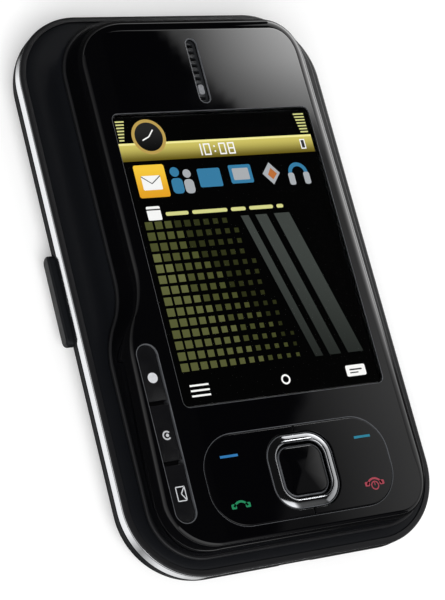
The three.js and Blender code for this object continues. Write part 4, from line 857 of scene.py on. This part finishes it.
def arcBand(x, y, inner, outer, fromDeg, toDeg, steps):
    turns = [math.radians(fromDeg + (toDeg - fromDeg) * i / steps) for i in range(steps + 1)]
    return ([(x + outer * math.cos(turn), y + outer * math.sin(turn)) for turn in turns]
            + [(x + inner * math.cos(turn), y + inner * math.sin(turn)) for turn in reversed(turns)])


def strokeLine(x0, y0, x1, y1, width):
    length = math.hypot(x1 - x0, y1 - y0)
    ox, oy = -(y1 - y0) / length * width / 2, (x1 - x0) / length * width / 2
    return [(x0 + ox, y0 + oy), (x0 - ox, y0 - oy), (x1 - ox, y1 - oy), (x1 + ox, y1 + oy)]


# Seven strokes make the plain digits of the clock line
digitStrokes = {"0": "abcdef", "1": "bc", "2": "abged", "3": "abgcd", "4": "fgbc",
                "5": "afgcd", "6": "afgedc", "7": "abc", "8": "abcdefg", "9": "abcdfg"}


def digitShapes(digit, left, bottom, width, height, stroke):
    right, top, middle = left + width, bottom + height, bottom + height / 2
    places = {
        "a": (left, top, right, top), "b": (right, top, right, middle), "c": (right, middle, right, bottom),
        "d": (left, bottom, right, bottom), "e": (left, middle, left, bottom), "f": (left, top, left, middle),
        "g": (left, middle, right, middle),
    }
    shapes = []
    for segment in digitStrokes[digit]:
        x0, y0, x1, y1 = places[segment]
        if x0 == x1:
            y0, y1 = max(y0, y1) + stroke / 2, min(y0, y1) - stroke / 2
        shapes.append(strokeLine(x0, y0, x1, y1, stroke))
    return shapes


def flatSheet(name, material, bodyName, shapes, x, y, z):
    def build(shape):
        for points in shapes:
            shape.faces.new([shape.verts.new(((x + px) * mm, (y + py) * mm, z * mm)) for px, py in points])
    mesh = meshOf(name, build)
    for polygon in mesh.polygons:
        if polygon.normal.z < 0:
            polygon.flip()
    mesh.materials.append(material)
    sheet = pieceFrom(name, mesh)
    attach(sheet, bodyName)


# The picture under the window: places are counted from its middle

picture = {"x": 1.0, "y": 2.1, "halfWidth": 18.45, "halfHeight": 24.55, "low": 14.705,
           "barLow": 16.8, "barHigh": 20.0, "barLine": 0.38}
stripes = {"feet": ((7.6, 1.5), (10.4, 2.2), (14.0, 3.0)), "low": -19.0, "high": 6.2, "lean": 7.0}
cells = {"count": 14, "left": -16.6, "low": -18.3, "across": 1.75, "up": 1.84, "half": 0.68, "shrink": 0.03,
         "edge": 5.6, "slant": 0.51, "light": 1.05, "dimAcross": 0.05, "dimUp": 0.04,
         "lightOver": {"Bright": 0.62, "Middle": 0.42, "Dim": -1.0}}
clock = {"time": "10 08", "left": -4.6, "low": 17.35, "width": 1.05, "height": 1.85, "stroke": 0.24,
         "pitch": 1.7, "closer": 0.28, "dotX": -0.938, "dots": (17.85, 18.75), "dot": 0.17}
screenColours = {
    "Black": (0.0012, 0.0012, 0.0012), "Grey": (0.05, 0.057, 0.052), "OliveBright": (0.17, 0.185, 0.065),
    "OliveMiddle": (0.085, 0.095, 0.03), "OliveDim": (0.03, 0.034, 0.011), "Gold": (0.62, 0.54, 0.13),
    "GoldLight": (0.9, 0.84, 0.32), "TileGold": (0.95, 0.6, 0.05), "ClockGold": (0.5, 0.34, 0.09),
    "Dial": (0.02, 0.02, 0.02), "WhiteLight": (0.95, 0.95, 0.93), "InkDark": (0.03, 0.03, 0.03),
    "YellowLight": (0.66, 0.66, 0.26), "BlueLight": (0.04, 0.2, 0.36), "PaleLight": (0.4, 0.42, 0.44),
    "WarmLight": (0.5, 0.16, 0.04)}
dial = {"x": -12.6, "y": 21.0, "radius": 2.6, "inner": 2.55, "outer": 3.1, "hand": 0.22}


def screenSheet(name, colourName, lift, shapes, fade=None):
    glow = glowFinish("screen" + colourName, screenColours[colourName], fade)
    flatSheet("screen" + name, glow, "display_half", shapes, picture["x"], picture["y"],
              picture["low"] + lift)


def downFade(dim, start, end):
    return {"towards": (0, 1, 0), "start": start, "end": end, "dim": dim}


def slantFade(across, dim):
    return {"towards": (across, 1, 0), "start": -22, "end": 8, "dim": dim}


# Wallpaper: straight grey stripes on the right, and a square grid of olive cells on the left
def drawWallpaper():
    wide, high = picture["halfWidth"], picture["halfHeight"]
    screenSheet("Base", "Black", 0, [bar(-wide, wide, -high, high)])
    low, top, lean = stripes["low"], stripes["high"], stripes["lean"]
    screenSheet("Stripes", "Grey", 0.006, [
        [(foot, low), (foot + width, low), (foot + width - lean, top), (foot - lean, top)]
        for foot, width in stripes["feet"]], slantFade(0.3, (0.012, 0.014, 0.012)))
    shapes = {tone: [] for tone in cells["lightOver"]}
    for row in range(cells["count"]):
        for column in range(cells["count"]):
            x, y = cells["left"] + cells["across"] * column, cells["low"] + cells["up"] * row
            half = cells["half"] - cells["shrink"] * column
            light = cells["light"] - cells["dimAcross"] * column - cells["dimUp"] * row
            tone = next(tone for tone, limit in cells["lightOver"].items() if light > limit)
            if x <= cells["edge"] - cells["slant"] * row:
                shapes[tone].append(bar(x - half, x + half, y - half, y + half))
    for tone, squares in shapes.items():
        dim = [0.55 * c for c in screenColours["Olive" + tone]]
        screenSheet("Cells" + tone, "Olive" + tone, 0.012, squares, slantFade(0.6, dim))


def drawGoldBar():
    wide, low, high, y = picture["halfWidth"], picture["barLow"], picture["barHigh"], picture["y"]
    screenSheet("GoldBar", "Gold", 0.018, [bar(-wide, wide, low, high)],
                downFade((0.12, 0.09, 0.008), y + low - 0.2, y + high - 0.4))
    screenSheet("GoldEdge", "GoldLight", 0.02,
                [bar(-wide, wide, high - picture["barLine"], high)])
    screenSheet("Tile", "TileGold", 0.018, [softBar(-16.9, -11.3, 10.4, 16.1, 0.4)],
                downFade((0.8, 0.36, 0.02), y + 10, y + 16))
    screenSheet("ClockRim", "ClockGold", 0.022,
                [arcBand(dial["x"], dial["y"], dial["inner"], dial["outer"], 0, 360, 48)])
    screenSheet("ClockDial", "Dial", 0.021,
                [disc(dial["x"], dial["y"], dial["radius"], 40)],
                downFade((0.004, 0.004, 0.004), y + 18, y + 23))


def clockShapes():
    shapes = [strokeLine(dial["x"], dial["y"], dial["x"] + across, dial["y"] + up, dial["hand"])
              for across, up in ((1.0, 1.2), (-1.3, -0.6))]
    for i, digit in enumerate(clock["time"]):
        if digit != " ":  # the gap takes the two dots, and is narrower than a digit
            x = clock["left"] + (i - clock["closer"] * (i > 2)) * clock["pitch"]
            shapes += digitShapes(digit, x, clock["low"], clock["width"], clock["height"], clock["stroke"])
    return shapes + [disc(clock["dotX"], y, clock["dot"], 10) for y in clock["dots"]]


def drawSymbols():
    softKeys = [bar(-16.6, -13.2, -21.5 - 0.85 * i, -21.2 - 0.85 * i) for i in range(3)]  # a list
    softKeys.append(arcBand(0.9, -22.2, 0.55, 0.85, 0, 360, 24))  # a ring
    softKeys.append(softBar(12.6, 16.4, -23.1, -21.2, 0.3))  # a card
    envelope = softBar(-15.9, -12.4, 11.7, 14.2, 0.2)
    page = softBar(-16.4, -13.9, 6.5, 8.9, 0.25)
    battery = bar(15.9, 16.9, 17.4, 19.2)
    screenSheet("White", "WhiteLight", 0.028,
                clockShapes() + softKeys + [envelope, page, battery])
    screenSheet("Ink", "InkDark", 0.034, [
        strokeLine(-15.9, 14.1, -14.15, 12.8, 0.16), strokeLine(-14.15, 12.8, -12.4, 14.1, 0.16),
        bar(-16.4, -13.9, 8.2, 8.45), bar(13.3, 15.7, -22.1, -21.85), bar(13.3, 14.9, -22.6, -22.4),
        bar(16.1, 16.7, 17.6, 19.0)])
    signals = [bar(-18.1, -17.2 + 0.12 * i, 20.4 + 0.55 * i, 20.65 + 0.55 * i) for i in range(7)]
    signals += [bar(16.6 - 0.1 * i, 18.1, 20.4 + 0.55 * i, 20.65 + 0.55 * i) for i in range(7)]
    words = [softBar(left, right, 7.1, 7.75, 0.3)
             for left, right in ((-13.1, -8.9), (-8.2, -1.6), (-0.9, 1.9), (2.6, 7.2), (7.9, 9.2))]
    screenSheet("Yellow", "YellowLight", 0.028, signals + words)
    screenSheet("Blue", "BlueLight", 0.026, [
        disc(-9.6, 14.6, 0.85, 20), softBar(-10.6, -8.5, 10.8, 13.5, 0.7),
        softBar(-5.4, -1.1, 11.6, 14.9, 0.3), softBar(0.6, 4.9, 11.9, 15.2, 0.3),
        arcBand(13.9, 13.1, 1.2, 1.9, 0, 180, 20)])
    screenSheet("Pale", "PaleLight", 0.030, [
        disc(-7.4, 14.2, 0.75, 20), softBar(-8.3, -6.5, 10.7, 13.2, 0.7), softBar(1.2, 4.3, 12.5, 14.6, 0.2),
        [(8.6, 15.3), (6.9, 13.3), (8.6, 11.3), (10.3, 13.3)],
        softBar(11.8, 13.0, 11.0, 13.2, 0.4), softBar(14.8, 16.0, 11.0, 13.2, 0.4)])
    screenSheet("Warm", "WarmLight", 0.034,
                [[(8.7, 14.3), (7.9, 13.1), (8.7, 12.2), (9.7, 13.2)]])


# Printed marks: those on the plates are counted from the picture's middle, those on the keys from their own
plateMarks = {
    "markBlue": ("left_key_plate", (0.02, 0.17, 0.42), [bar(-14.9, -11.7, -33.6, -33.2)]),
    "markTeal": ("right_key_plate", (0.015, 0.2, 0.3), [bar(10.1, 13.2, -33.6, -33.2)]),
    "markGreen": ("left_key_plate", (0.01, 0.22, 0.09), [
        arcBand(-13.35, -42.0, 1.15, 1.5, 25, 155, 20), softBar(-15.05, -14.15, -41.75, -40.95, 0.2),
        softBar(-12.55, -11.65, -41.75, -40.95, 0.2)]),
    "markRed": ("right_key_plate", (0.36, 0.05, 0.075), [
        arcBand(11.65, -41.9, 1.3, 1.62, 20, 160, 20), softBar(9.8, 10.7, -41.6, -40.85, 0.2),
        softBar(12.6, 13.5, -41.6, -40.85, 0.2), arcBand(11.65, -41.6, 0.55, 0.75, 0, 360, 24),
        bar(11.57, 11.73, -41.6, -41.0)]),
}
keyMarks = {
    "markBrowse": ("shortcut_key_1", -17.3, "markWhiteInk", (0.62, 0.63, 0.65), [disc(0, 0, 0.85, 28)]),
    "markTalk": ("shortcut_key_2", -26.6, "markTalkInk", (0.5, 0.51, 0.53), [
        arcBand(0, 0, 0.5, 0.75, 40, 320, 20), disc(0.1, 0, 0.28, 14)]),
    "markMail": ("shortcut_key_3", -35.9, "markMailInk", (0.62, 0.63, 0.65), [
        strokeLine(*line, 0.16) for line in (
            (-0.75, -1.1, 0.75, -1.1), (-0.75, 1.1, 0.75, 1.1), (-0.75, -1.1, -0.75, 1.1),
            (0.75, -1.1, 0.75, 1.1), (0.75, -1.1, 0.0, 0), (0.75, 1.1, 0.0, 0))]),
}
markPlaces = {"plateLift": 0.012, "keyLift": 0.035, "keyShift": 0.15}


def drawMarks():
    plateTop = cover["face"] + markPlaces["plateLift"]
    for name, (node, colour, shapes) in plateMarks.items():
        flatSheet(name, inkFinish(name + "Ink", colour), node, shapes, picture["x"], picture["y"], plateTop)
    keyX = (shortcuts["left"] + shortcuts["right"]) / 2 + markPlaces["keyShift"]
    keyTop = cover["face"] - shortcutPad["sink"] - shortcutPad["dish"] + markPlaces["keyLift"]
    for name, (node, y, inkName, colour, shapes) in keyMarks.items():
        flatSheet(name, inkFinish(inkName, colour), node, shapes, keyX, y, keyTop)


drawWallpaper()
drawGoldBar()
drawSymbols()
drawMarks()
print("picture and marks drawn")


# Carried-over solids: the finish, the rounding of the edges, and the solids that take them

dressing = (
    ("softTouchBlack", 0.1, ["battery_cover"]),
    ("cellFilm", 0.2, ["battery"]),
    ("contactGold", 0.05, ["battery_contacts"]),
    ("smokedChrome", 0.08, ["camera_bezel"]),
    ("lensGlass", 0.06, ["camera_window"]),
    ("mouldedBlack", 0.1, ["camera_module"]),
    ("mouldedBlack", 0.08, ["loudspeaker"]),
    ("mouldedBlack", 0.06, ["guide_shoe_top", "guide_shoe_bottom", "earpiece"]),
    ("mouldedBlack", 0.05, ["antenna", "audio_jack", "display_panel"]),
    ("pressedSteel", 0.08, [f"shell_screw_{i}" for i in (1, 2, 3, 4)]),
    ("pressedSteel", 0.06, ["shield_can", "slide_base_plate", "slide_carriage"]),
    ("pressedSteel", 0.05, ["sim_holder", "vibration_motor", "usb_socket", "display_bracket"]),
    ("pressedSteel", 0.04, ["volume_switches", "camera_switch", "power_switch"]),
    ("pressedSteel", 0.0, ["switch_sheet", "assist_spring_top", "assist_spring_bottom"]),
    ("boardGreen", 0.05, ["main_board", "keypad_board"]),
    ("keyCapSatin", 0.06, ["key_row_1", "key_row_2", "key_row_3", "key_row_4_left", "key_row_4_right",
                           "backspace_key", "enter_key", "shift_key", "space_key"]),
    ("grilleMetal", 0.03, ["earpiece_grille"]),
    ("actuatorRubber", 0.05, ["navigation_actuator"]),
    ("amberFilm", 0.0, ["slide_flex"]),
)
dressed = set()
for finishName, edge, nodeNames in dressing:
    for nodeName in nodeNames:
        dress(nodeName, finishName, edge)
        dressed.add(nodeName)
plain = sorted(name for name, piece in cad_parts.items()
               if name not in dressed and not piece.hide_render)
print("solids dressed:", len(dressed), "left plain:", plain)


# Studio: pale floor, a plain lamp that reflections don't show, and cards that only reflections show

studio = {"floorSize": 4.0, "floorLow": -0.05, "floorGlow": 0.24, "ambient": 0.55, "mirroredSky": 0.012}


def strongest(tree, *sources):
    socket = sources[0]
    for other in sources[1:]:
        socket = addNode(tree, "Math", {0: socket, 1: other}, operation="MAXIMUM").outputs[0]
    return socket


def mixedShader(tree, amount, first, second):
    return addNode(tree, "MixShader", {0: amount, 1: first, 2: second}).outputs[0]


def buildFloor():
    size, low = studio["floorSize"], studio["floorLow"] * mm
    mesh = meshOf("floor", lambda shape: shape.faces.new([
        shape.verts.new((x * size, y * size, low)) for x, y in ((-1, -1), (1, -1), (1, 1), (-1, 1))]))
    paper = bpy.data.materials["floorPaper"]
    tree = paper.node_tree
    shader, out = tree.nodes["Principled BSDF"], tree.nodes["Material Output"]
    path = addNode(tree, "LightPath")
    glow = addNode(tree, "Emission", {"Strength": studio["floorGlow"]})
    both = addNode(tree, "AddShader", {0: shader.outputs[0], 1: glow.outputs[0]})
    rays = strongest(tree, path.outputs["Is Camera Ray"], path.outputs["Is Transmission Ray"],
                     path.outputs["Is Glossy Ray"])
    tree.links.new(mixedShader(tree, rays, shader.outputs[0], both.outputs[0]), out.inputs["Surface"])
    mesh.materials.append(paper)
    pieceFrom("floor", mesh)


def buildWorld():
    world = bpy.data.worlds.new("studioWorld")
    bpy.context.scene.world = world
    world.use_nodes = True
    tree = world.node_tree
    tree.nodes.clear()
    path = addNode(tree, "LightPath")
    mirrored, seen, ambient = (addNode(tree, "Background", {"Strength": strength}).outputs[0]
                               for strength in (studio["mirroredSky"], 1.0, studio["ambient"]))
    shaded = mixedShader(tree, path.outputs["Is Glossy Ray"], ambient, mirrored)
    rays = strongest(tree, path.outputs["Is Camera Ray"], path.outputs["Is Transmission Ray"])
    addNode(tree, "OutputWorld", {"Surface": mixedShader(tree, rays, shaded, seen)})


# A sheet that only reflections see, with its own tone at each point
def glowSheet(name, points, faces, tones):
    mesh = bpy.data.meshes.new(name)
    mesh.from_pydata([(x * mm, y * mm, z * mm) for x, y, z in points], [], faces)
    mesh.attributes.new("tone", "FLOAT", "POINT").data.foreach_set("value", tones)
    sheet = pieceFrom(name, mesh)
    cloth = bpy.data.materials.new(name + "Cloth")
    cloth.use_nodes = True
    tree = cloth.node_tree
    tree.nodes.clear()
    level = addNode(tree, "Attribute", attribute_name="tone")
    glow = addNode(tree, "Emission", {"Strength": level.outputs["Fac"]})
    addNode(tree, "OutputMaterial", {"Surface": glow.outputs[0]})
    mesh.materials.append(cloth)
    for ray in ("camera", "diffuse", "transmission", "volume_scatter", "shadow"):
        setattr(sheet, "visible_" + ray, False)


def evenSteps(start, end, count):
    return [start + (end - start) * i / count for i in range(count + 1)]


def gridFaces(columns, rows):
    return [(columns * j + i, columns * j + i + 1, columns * (j + 1) + i + 1, columns * (j + 1) + i)
            for j in range(rows - 1) for i in range(columns - 1)]


def toneAt(stops, at):
    if at <= stops[0][0]:
        return stops[0][1]
    for (low, first), (high, second) in zip(stops, stops[1:]):
        if at <= high:
            return first + (second - first) * (at - low) / (high - low)
    return stops[-1][1]


# Place, turn and lens were solved from the corners of the window in the photograph
photoCamera = {"place": (-158.324, -83.734, 266.334), "turn": (0.951743, 0.157222, -0.248884, -0.086735),
               "lens": 114.0, "sensor": 36.0}
# The soft box hangs where the face mirrors it for that camera, with its place in round numbers: a point of
# the face maps to a point of the box. Along the phone, edge is where its light begins and level is how
# strong it is.
softBox = {
    "height": 400.0, "eye": (-158.3, -83.7, 266.3),
    "left": -16, "right": 44, "bottom": -62, "top": 64, "across": 40, "up": 84,
    "edge": [(-50, -10.0), (-44, -8.0), (-27, -0.5), (-24, 3.0), (20, 6.5), (27.8, 4.4), (30.7, 1.0),
             (36.3, -1.9), (41.9, -5.0), (60, -15.0)],
    "level": [(-60, 0.8), (-34, 0.76), (-24, 0.84), (0, 0.62), (18, 0.5), (23, 0.9), (27, 3.2), (30, 4.2),
              (36, 6.9), (42, 8.2), (60, 8.6)],
    "soft": 3.0, "nearShare": 0.25, "shareFrom": 3.0, "shareTo": 20.3, "leastShare": 0.14, "mostShare": 1.15,
}


def onBox(x, y):
    eyeX, eyeY, eyeZ = softBox["eye"]
    reach = softBox["height"] / (eyeZ - cover["face"])
    return (x + reach * (x - eyeX), y + reach * (y - eyeY), cover["face"] + softBox["height"])


def boxTone(x, y):
    share = softBox["nearShare"] + (1 - softBox["nearShare"]) * (
        (x - softBox["shareFrom"]) / (softBox["shareTo"] - softBox["shareFrom"]))
    start = toneAt(softBox["edge"], y)
    edge = softStep(shareOf(x, start, start + softBox["soft"]))
    return edge * toneAt(softBox["level"], y) * min(softBox["mostShare"], max(softBox["leastShare"], share))


def buildSoftBox():
    across, up = softBox["across"], softBox["up"]
    spots = [(x, y) for y in evenSteps(softBox["bottom"], softBox["top"], up)
             for x in evenSteps(softBox["left"], softBox["right"], across)]
    glowSheet("softBox", [onBox(x, y) for x, y in spots], gridFaces(across + 1, up + 1),
              [boxTone(x, y) for x, y in spots])


# Standing cards: the ends of the foot line, the tones of dark and light places at each height, and how light
# each place along the foot line is
cards = {
    "rightCard": {"from": (90, -110), "to": (90, 150),
                  "levels": [(0, 0.2, 4.2), (22, 0.2, 3.0), (50, 0.35, 1.5), (95, 0.3, 0.7)],
                  "fade": [(-110, 0.1), (-50, 0.18), (-8, 0.2), (8, 0.6), (60, 0.85), (110, 1.0)]},
    "leftCard": {"from": (-130, -130), "to": (-130, 160),
                 "levels": [(0, 0, 0.9), (25, 0, 0.8), (60, 0, 0.5), (110, 0, 0.18), (150, 0, 0.0)],
                 "fade": [(-130, 1.0), (0, 1.0), (70, 0.4), (160, 0.3)]},
    "lowerCard": {"from": (-130, -130), "to": (120, -130),
                  "levels": [(0, 0.0, 0.15), (14, 0.0, 0.25), (28, 0.0, 0.9), (95, 0.06, 1.5),
                             (160, 0.05, 1.2), (180, 0, 0)],
                  "fade": [(-130, 0.8), (0, 1.0), (28, 1.0), (42, 0.25), (60, 0.05), (120, 0.0)]},
}
cardSteps = 24


def buildCards():
    for name, facts in cards.items():
        points, tones = [], []
        (x0, y0), (x1, y1) = facts["from"], facts["to"]
        for height, dark, light in facts["levels"]:
            for i in range(cardSteps + 1):
                x, y = x0 + (x1 - x0) * i / cardSteps, y0 + (y1 - y0) * i / cardSteps
                points.append((x, y, height))
                tones.append(dark + (light - dark) * toneAt(facts["fade"], y if x0 == x1 else x))
        glowSheet(name, points, gridFaces(cardSteps + 1, len(facts["levels"])), tones)


# A dark sheet lies round the phone, grey far from it and pale to the right of it, and on the sheet a pale
# strip lies beside the chrome band
darkSheet = {"left": -130.0, "right": 130.0, "bottom": -110.0, "top": 430.0, "near": 30.0, "far": 100.0,
             "tone": 0.022, "farTone": 0.35, "height": -0.02,
             "ends": [(-110, 0.2), (-75, 0.25), (-40, 1.0), (95, 1.0), (130, 0.3), (430, 0.3)],
             "paleFrom": 41.0, "paleStep": 0.5, "paleLow": -16.0, "paleHigh": 2.0,
             "darkColumns": 30, "paleColumns": 10, "rows": 108}
paleStrip = {"inner": 1.5, "outer": 6.3, "soft": 0.5, "height": -0.01, "endTurn": 262,
             "turn": [(95, 0.0), (130, 0.0), (158, 1.0), (196, 1.0), (216, 0.3), (238, 0.9), (262, 0.8)],
             "below": [(-20, 0.8), (-6, 0.25), (8, 0.0)]}


def darkSheetTone(x, y):
    apart = math.hypot(max(0, abs(x) - body["width"] / 2), max(0, abs(y) - body["length"] / 2))
    far = softStep(shareOf(apart, darkSheet["near"], darkSheet["far"]))
    farTone = darkSheet["farTone"] * toneAt(darkSheet["ends"], y)
    tone = darkSheet["tone"] + (farTone - darkSheet["tone"]) * far
    if x > darkSheet["paleFrom"]:
        tone += (1.0 - tone) * softStep(shareOf(y, darkSheet["paleLow"], darkSheet["paleHigh"]))
    return tone


def buildDarkSheet():
    pale = darkSheet["paleFrom"]
    xs = evenSteps(darkSheet["left"], pale, darkSheet["darkColumns"])
    xs += evenSteps(pale + darkSheet["paleStep"], darkSheet["right"], darkSheet["paleColumns"])
    ys = evenSteps(darkSheet["bottom"], darkSheet["top"], darkSheet["rows"])
    points = [(x, y, darkSheet["height"]) for y in ys for x in xs]
    glowSheet("darkSheet", points, gridFaces(len(xs), len(ys)), [darkSheetTone(x, y) for x, y, z in points])


def buildPaleStrip():
    points, tones = [], []
    inner, outer, soft = paleStrip["inner"], paleStrip["outer"], paleStrip["soft"]
    for x, y, nx, ny in bodyOutline:
        degrees = math.degrees(math.atan2(ny, nx)) % 360
        below = degrees > paleStrip["endTurn"]
        share = toneAt(paleStrip["below"], x) if below else toneAt(paleStrip["turn"], degrees)
        for offset, level in ((inner, 0), (inner + soft, 1), (outer - soft, 1), (outer, 0)):
            points.append((x + offset * nx, y + offset * ny, paleStrip["height"]))
            tones.append(max(darkSheet["tone"], level * share))
    count = len(bodyOutline)
    faces = []
    for i in range(count):
        j = (i + 1) % count
        faces += [(4 * i + k, 4 * i + k + 1, 4 * j + k + 1, 4 * j + k) for k in range(3)]
    glowSheet("paleStrip", points, faces, tones)


keyLamp = {"place": (-0.35, -0.5, 0.7), "size": 0.7, "power": 8.5}  # metres and watts, aimed at the phone


def addKeyLamp():
    lamp = bpy.data.lights.new("keyLamp", "AREA")
    lamp.shape = "DISK"
    lamp.size = keyLamp["size"]
    lamp.energy = keyLamp["power"]
    holder = bpy.data.objects.new("keyLamp", lamp)
    bpy.context.scene.collection.objects.link(holder)
    holder.location = Vector(keyLamp["place"])
    holder.rotation_mode = "QUATERNION"
    holder.rotation_quaternion = (-holder.location).to_track_quat("-Z", "Y")
    holder.visible_camera = False
    holder.visible_glossy = False


def placeCamera():
    lens = bpy.data.cameras.new("photoCamera")
    lens.sensor_width = photoCamera["sensor"]
    lens.lens = photoCamera["lens"]
    lens.clip_start, lens.clip_end = 0.01, 20.0
    view = bpy.data.objects.new("photoCamera", lens)
    bpy.context.scene.collection.objects.link(view)
    view.location = Vector(photoCamera["place"]) * mm
    view.rotation_mode = "QUATERNION"
    view.rotation_quaternion = Quaternion(photoCamera["turn"])
    bpy.context.scene.camera = view


buildFloor()
buildWorld()
buildSoftBox()
buildCards()
buildDarkSheet()
buildPaleStrip()
addKeyLamp()
placeCamera()
bpy.context.scene.view_settings.view_transform = "Standard"
print("studio ready")
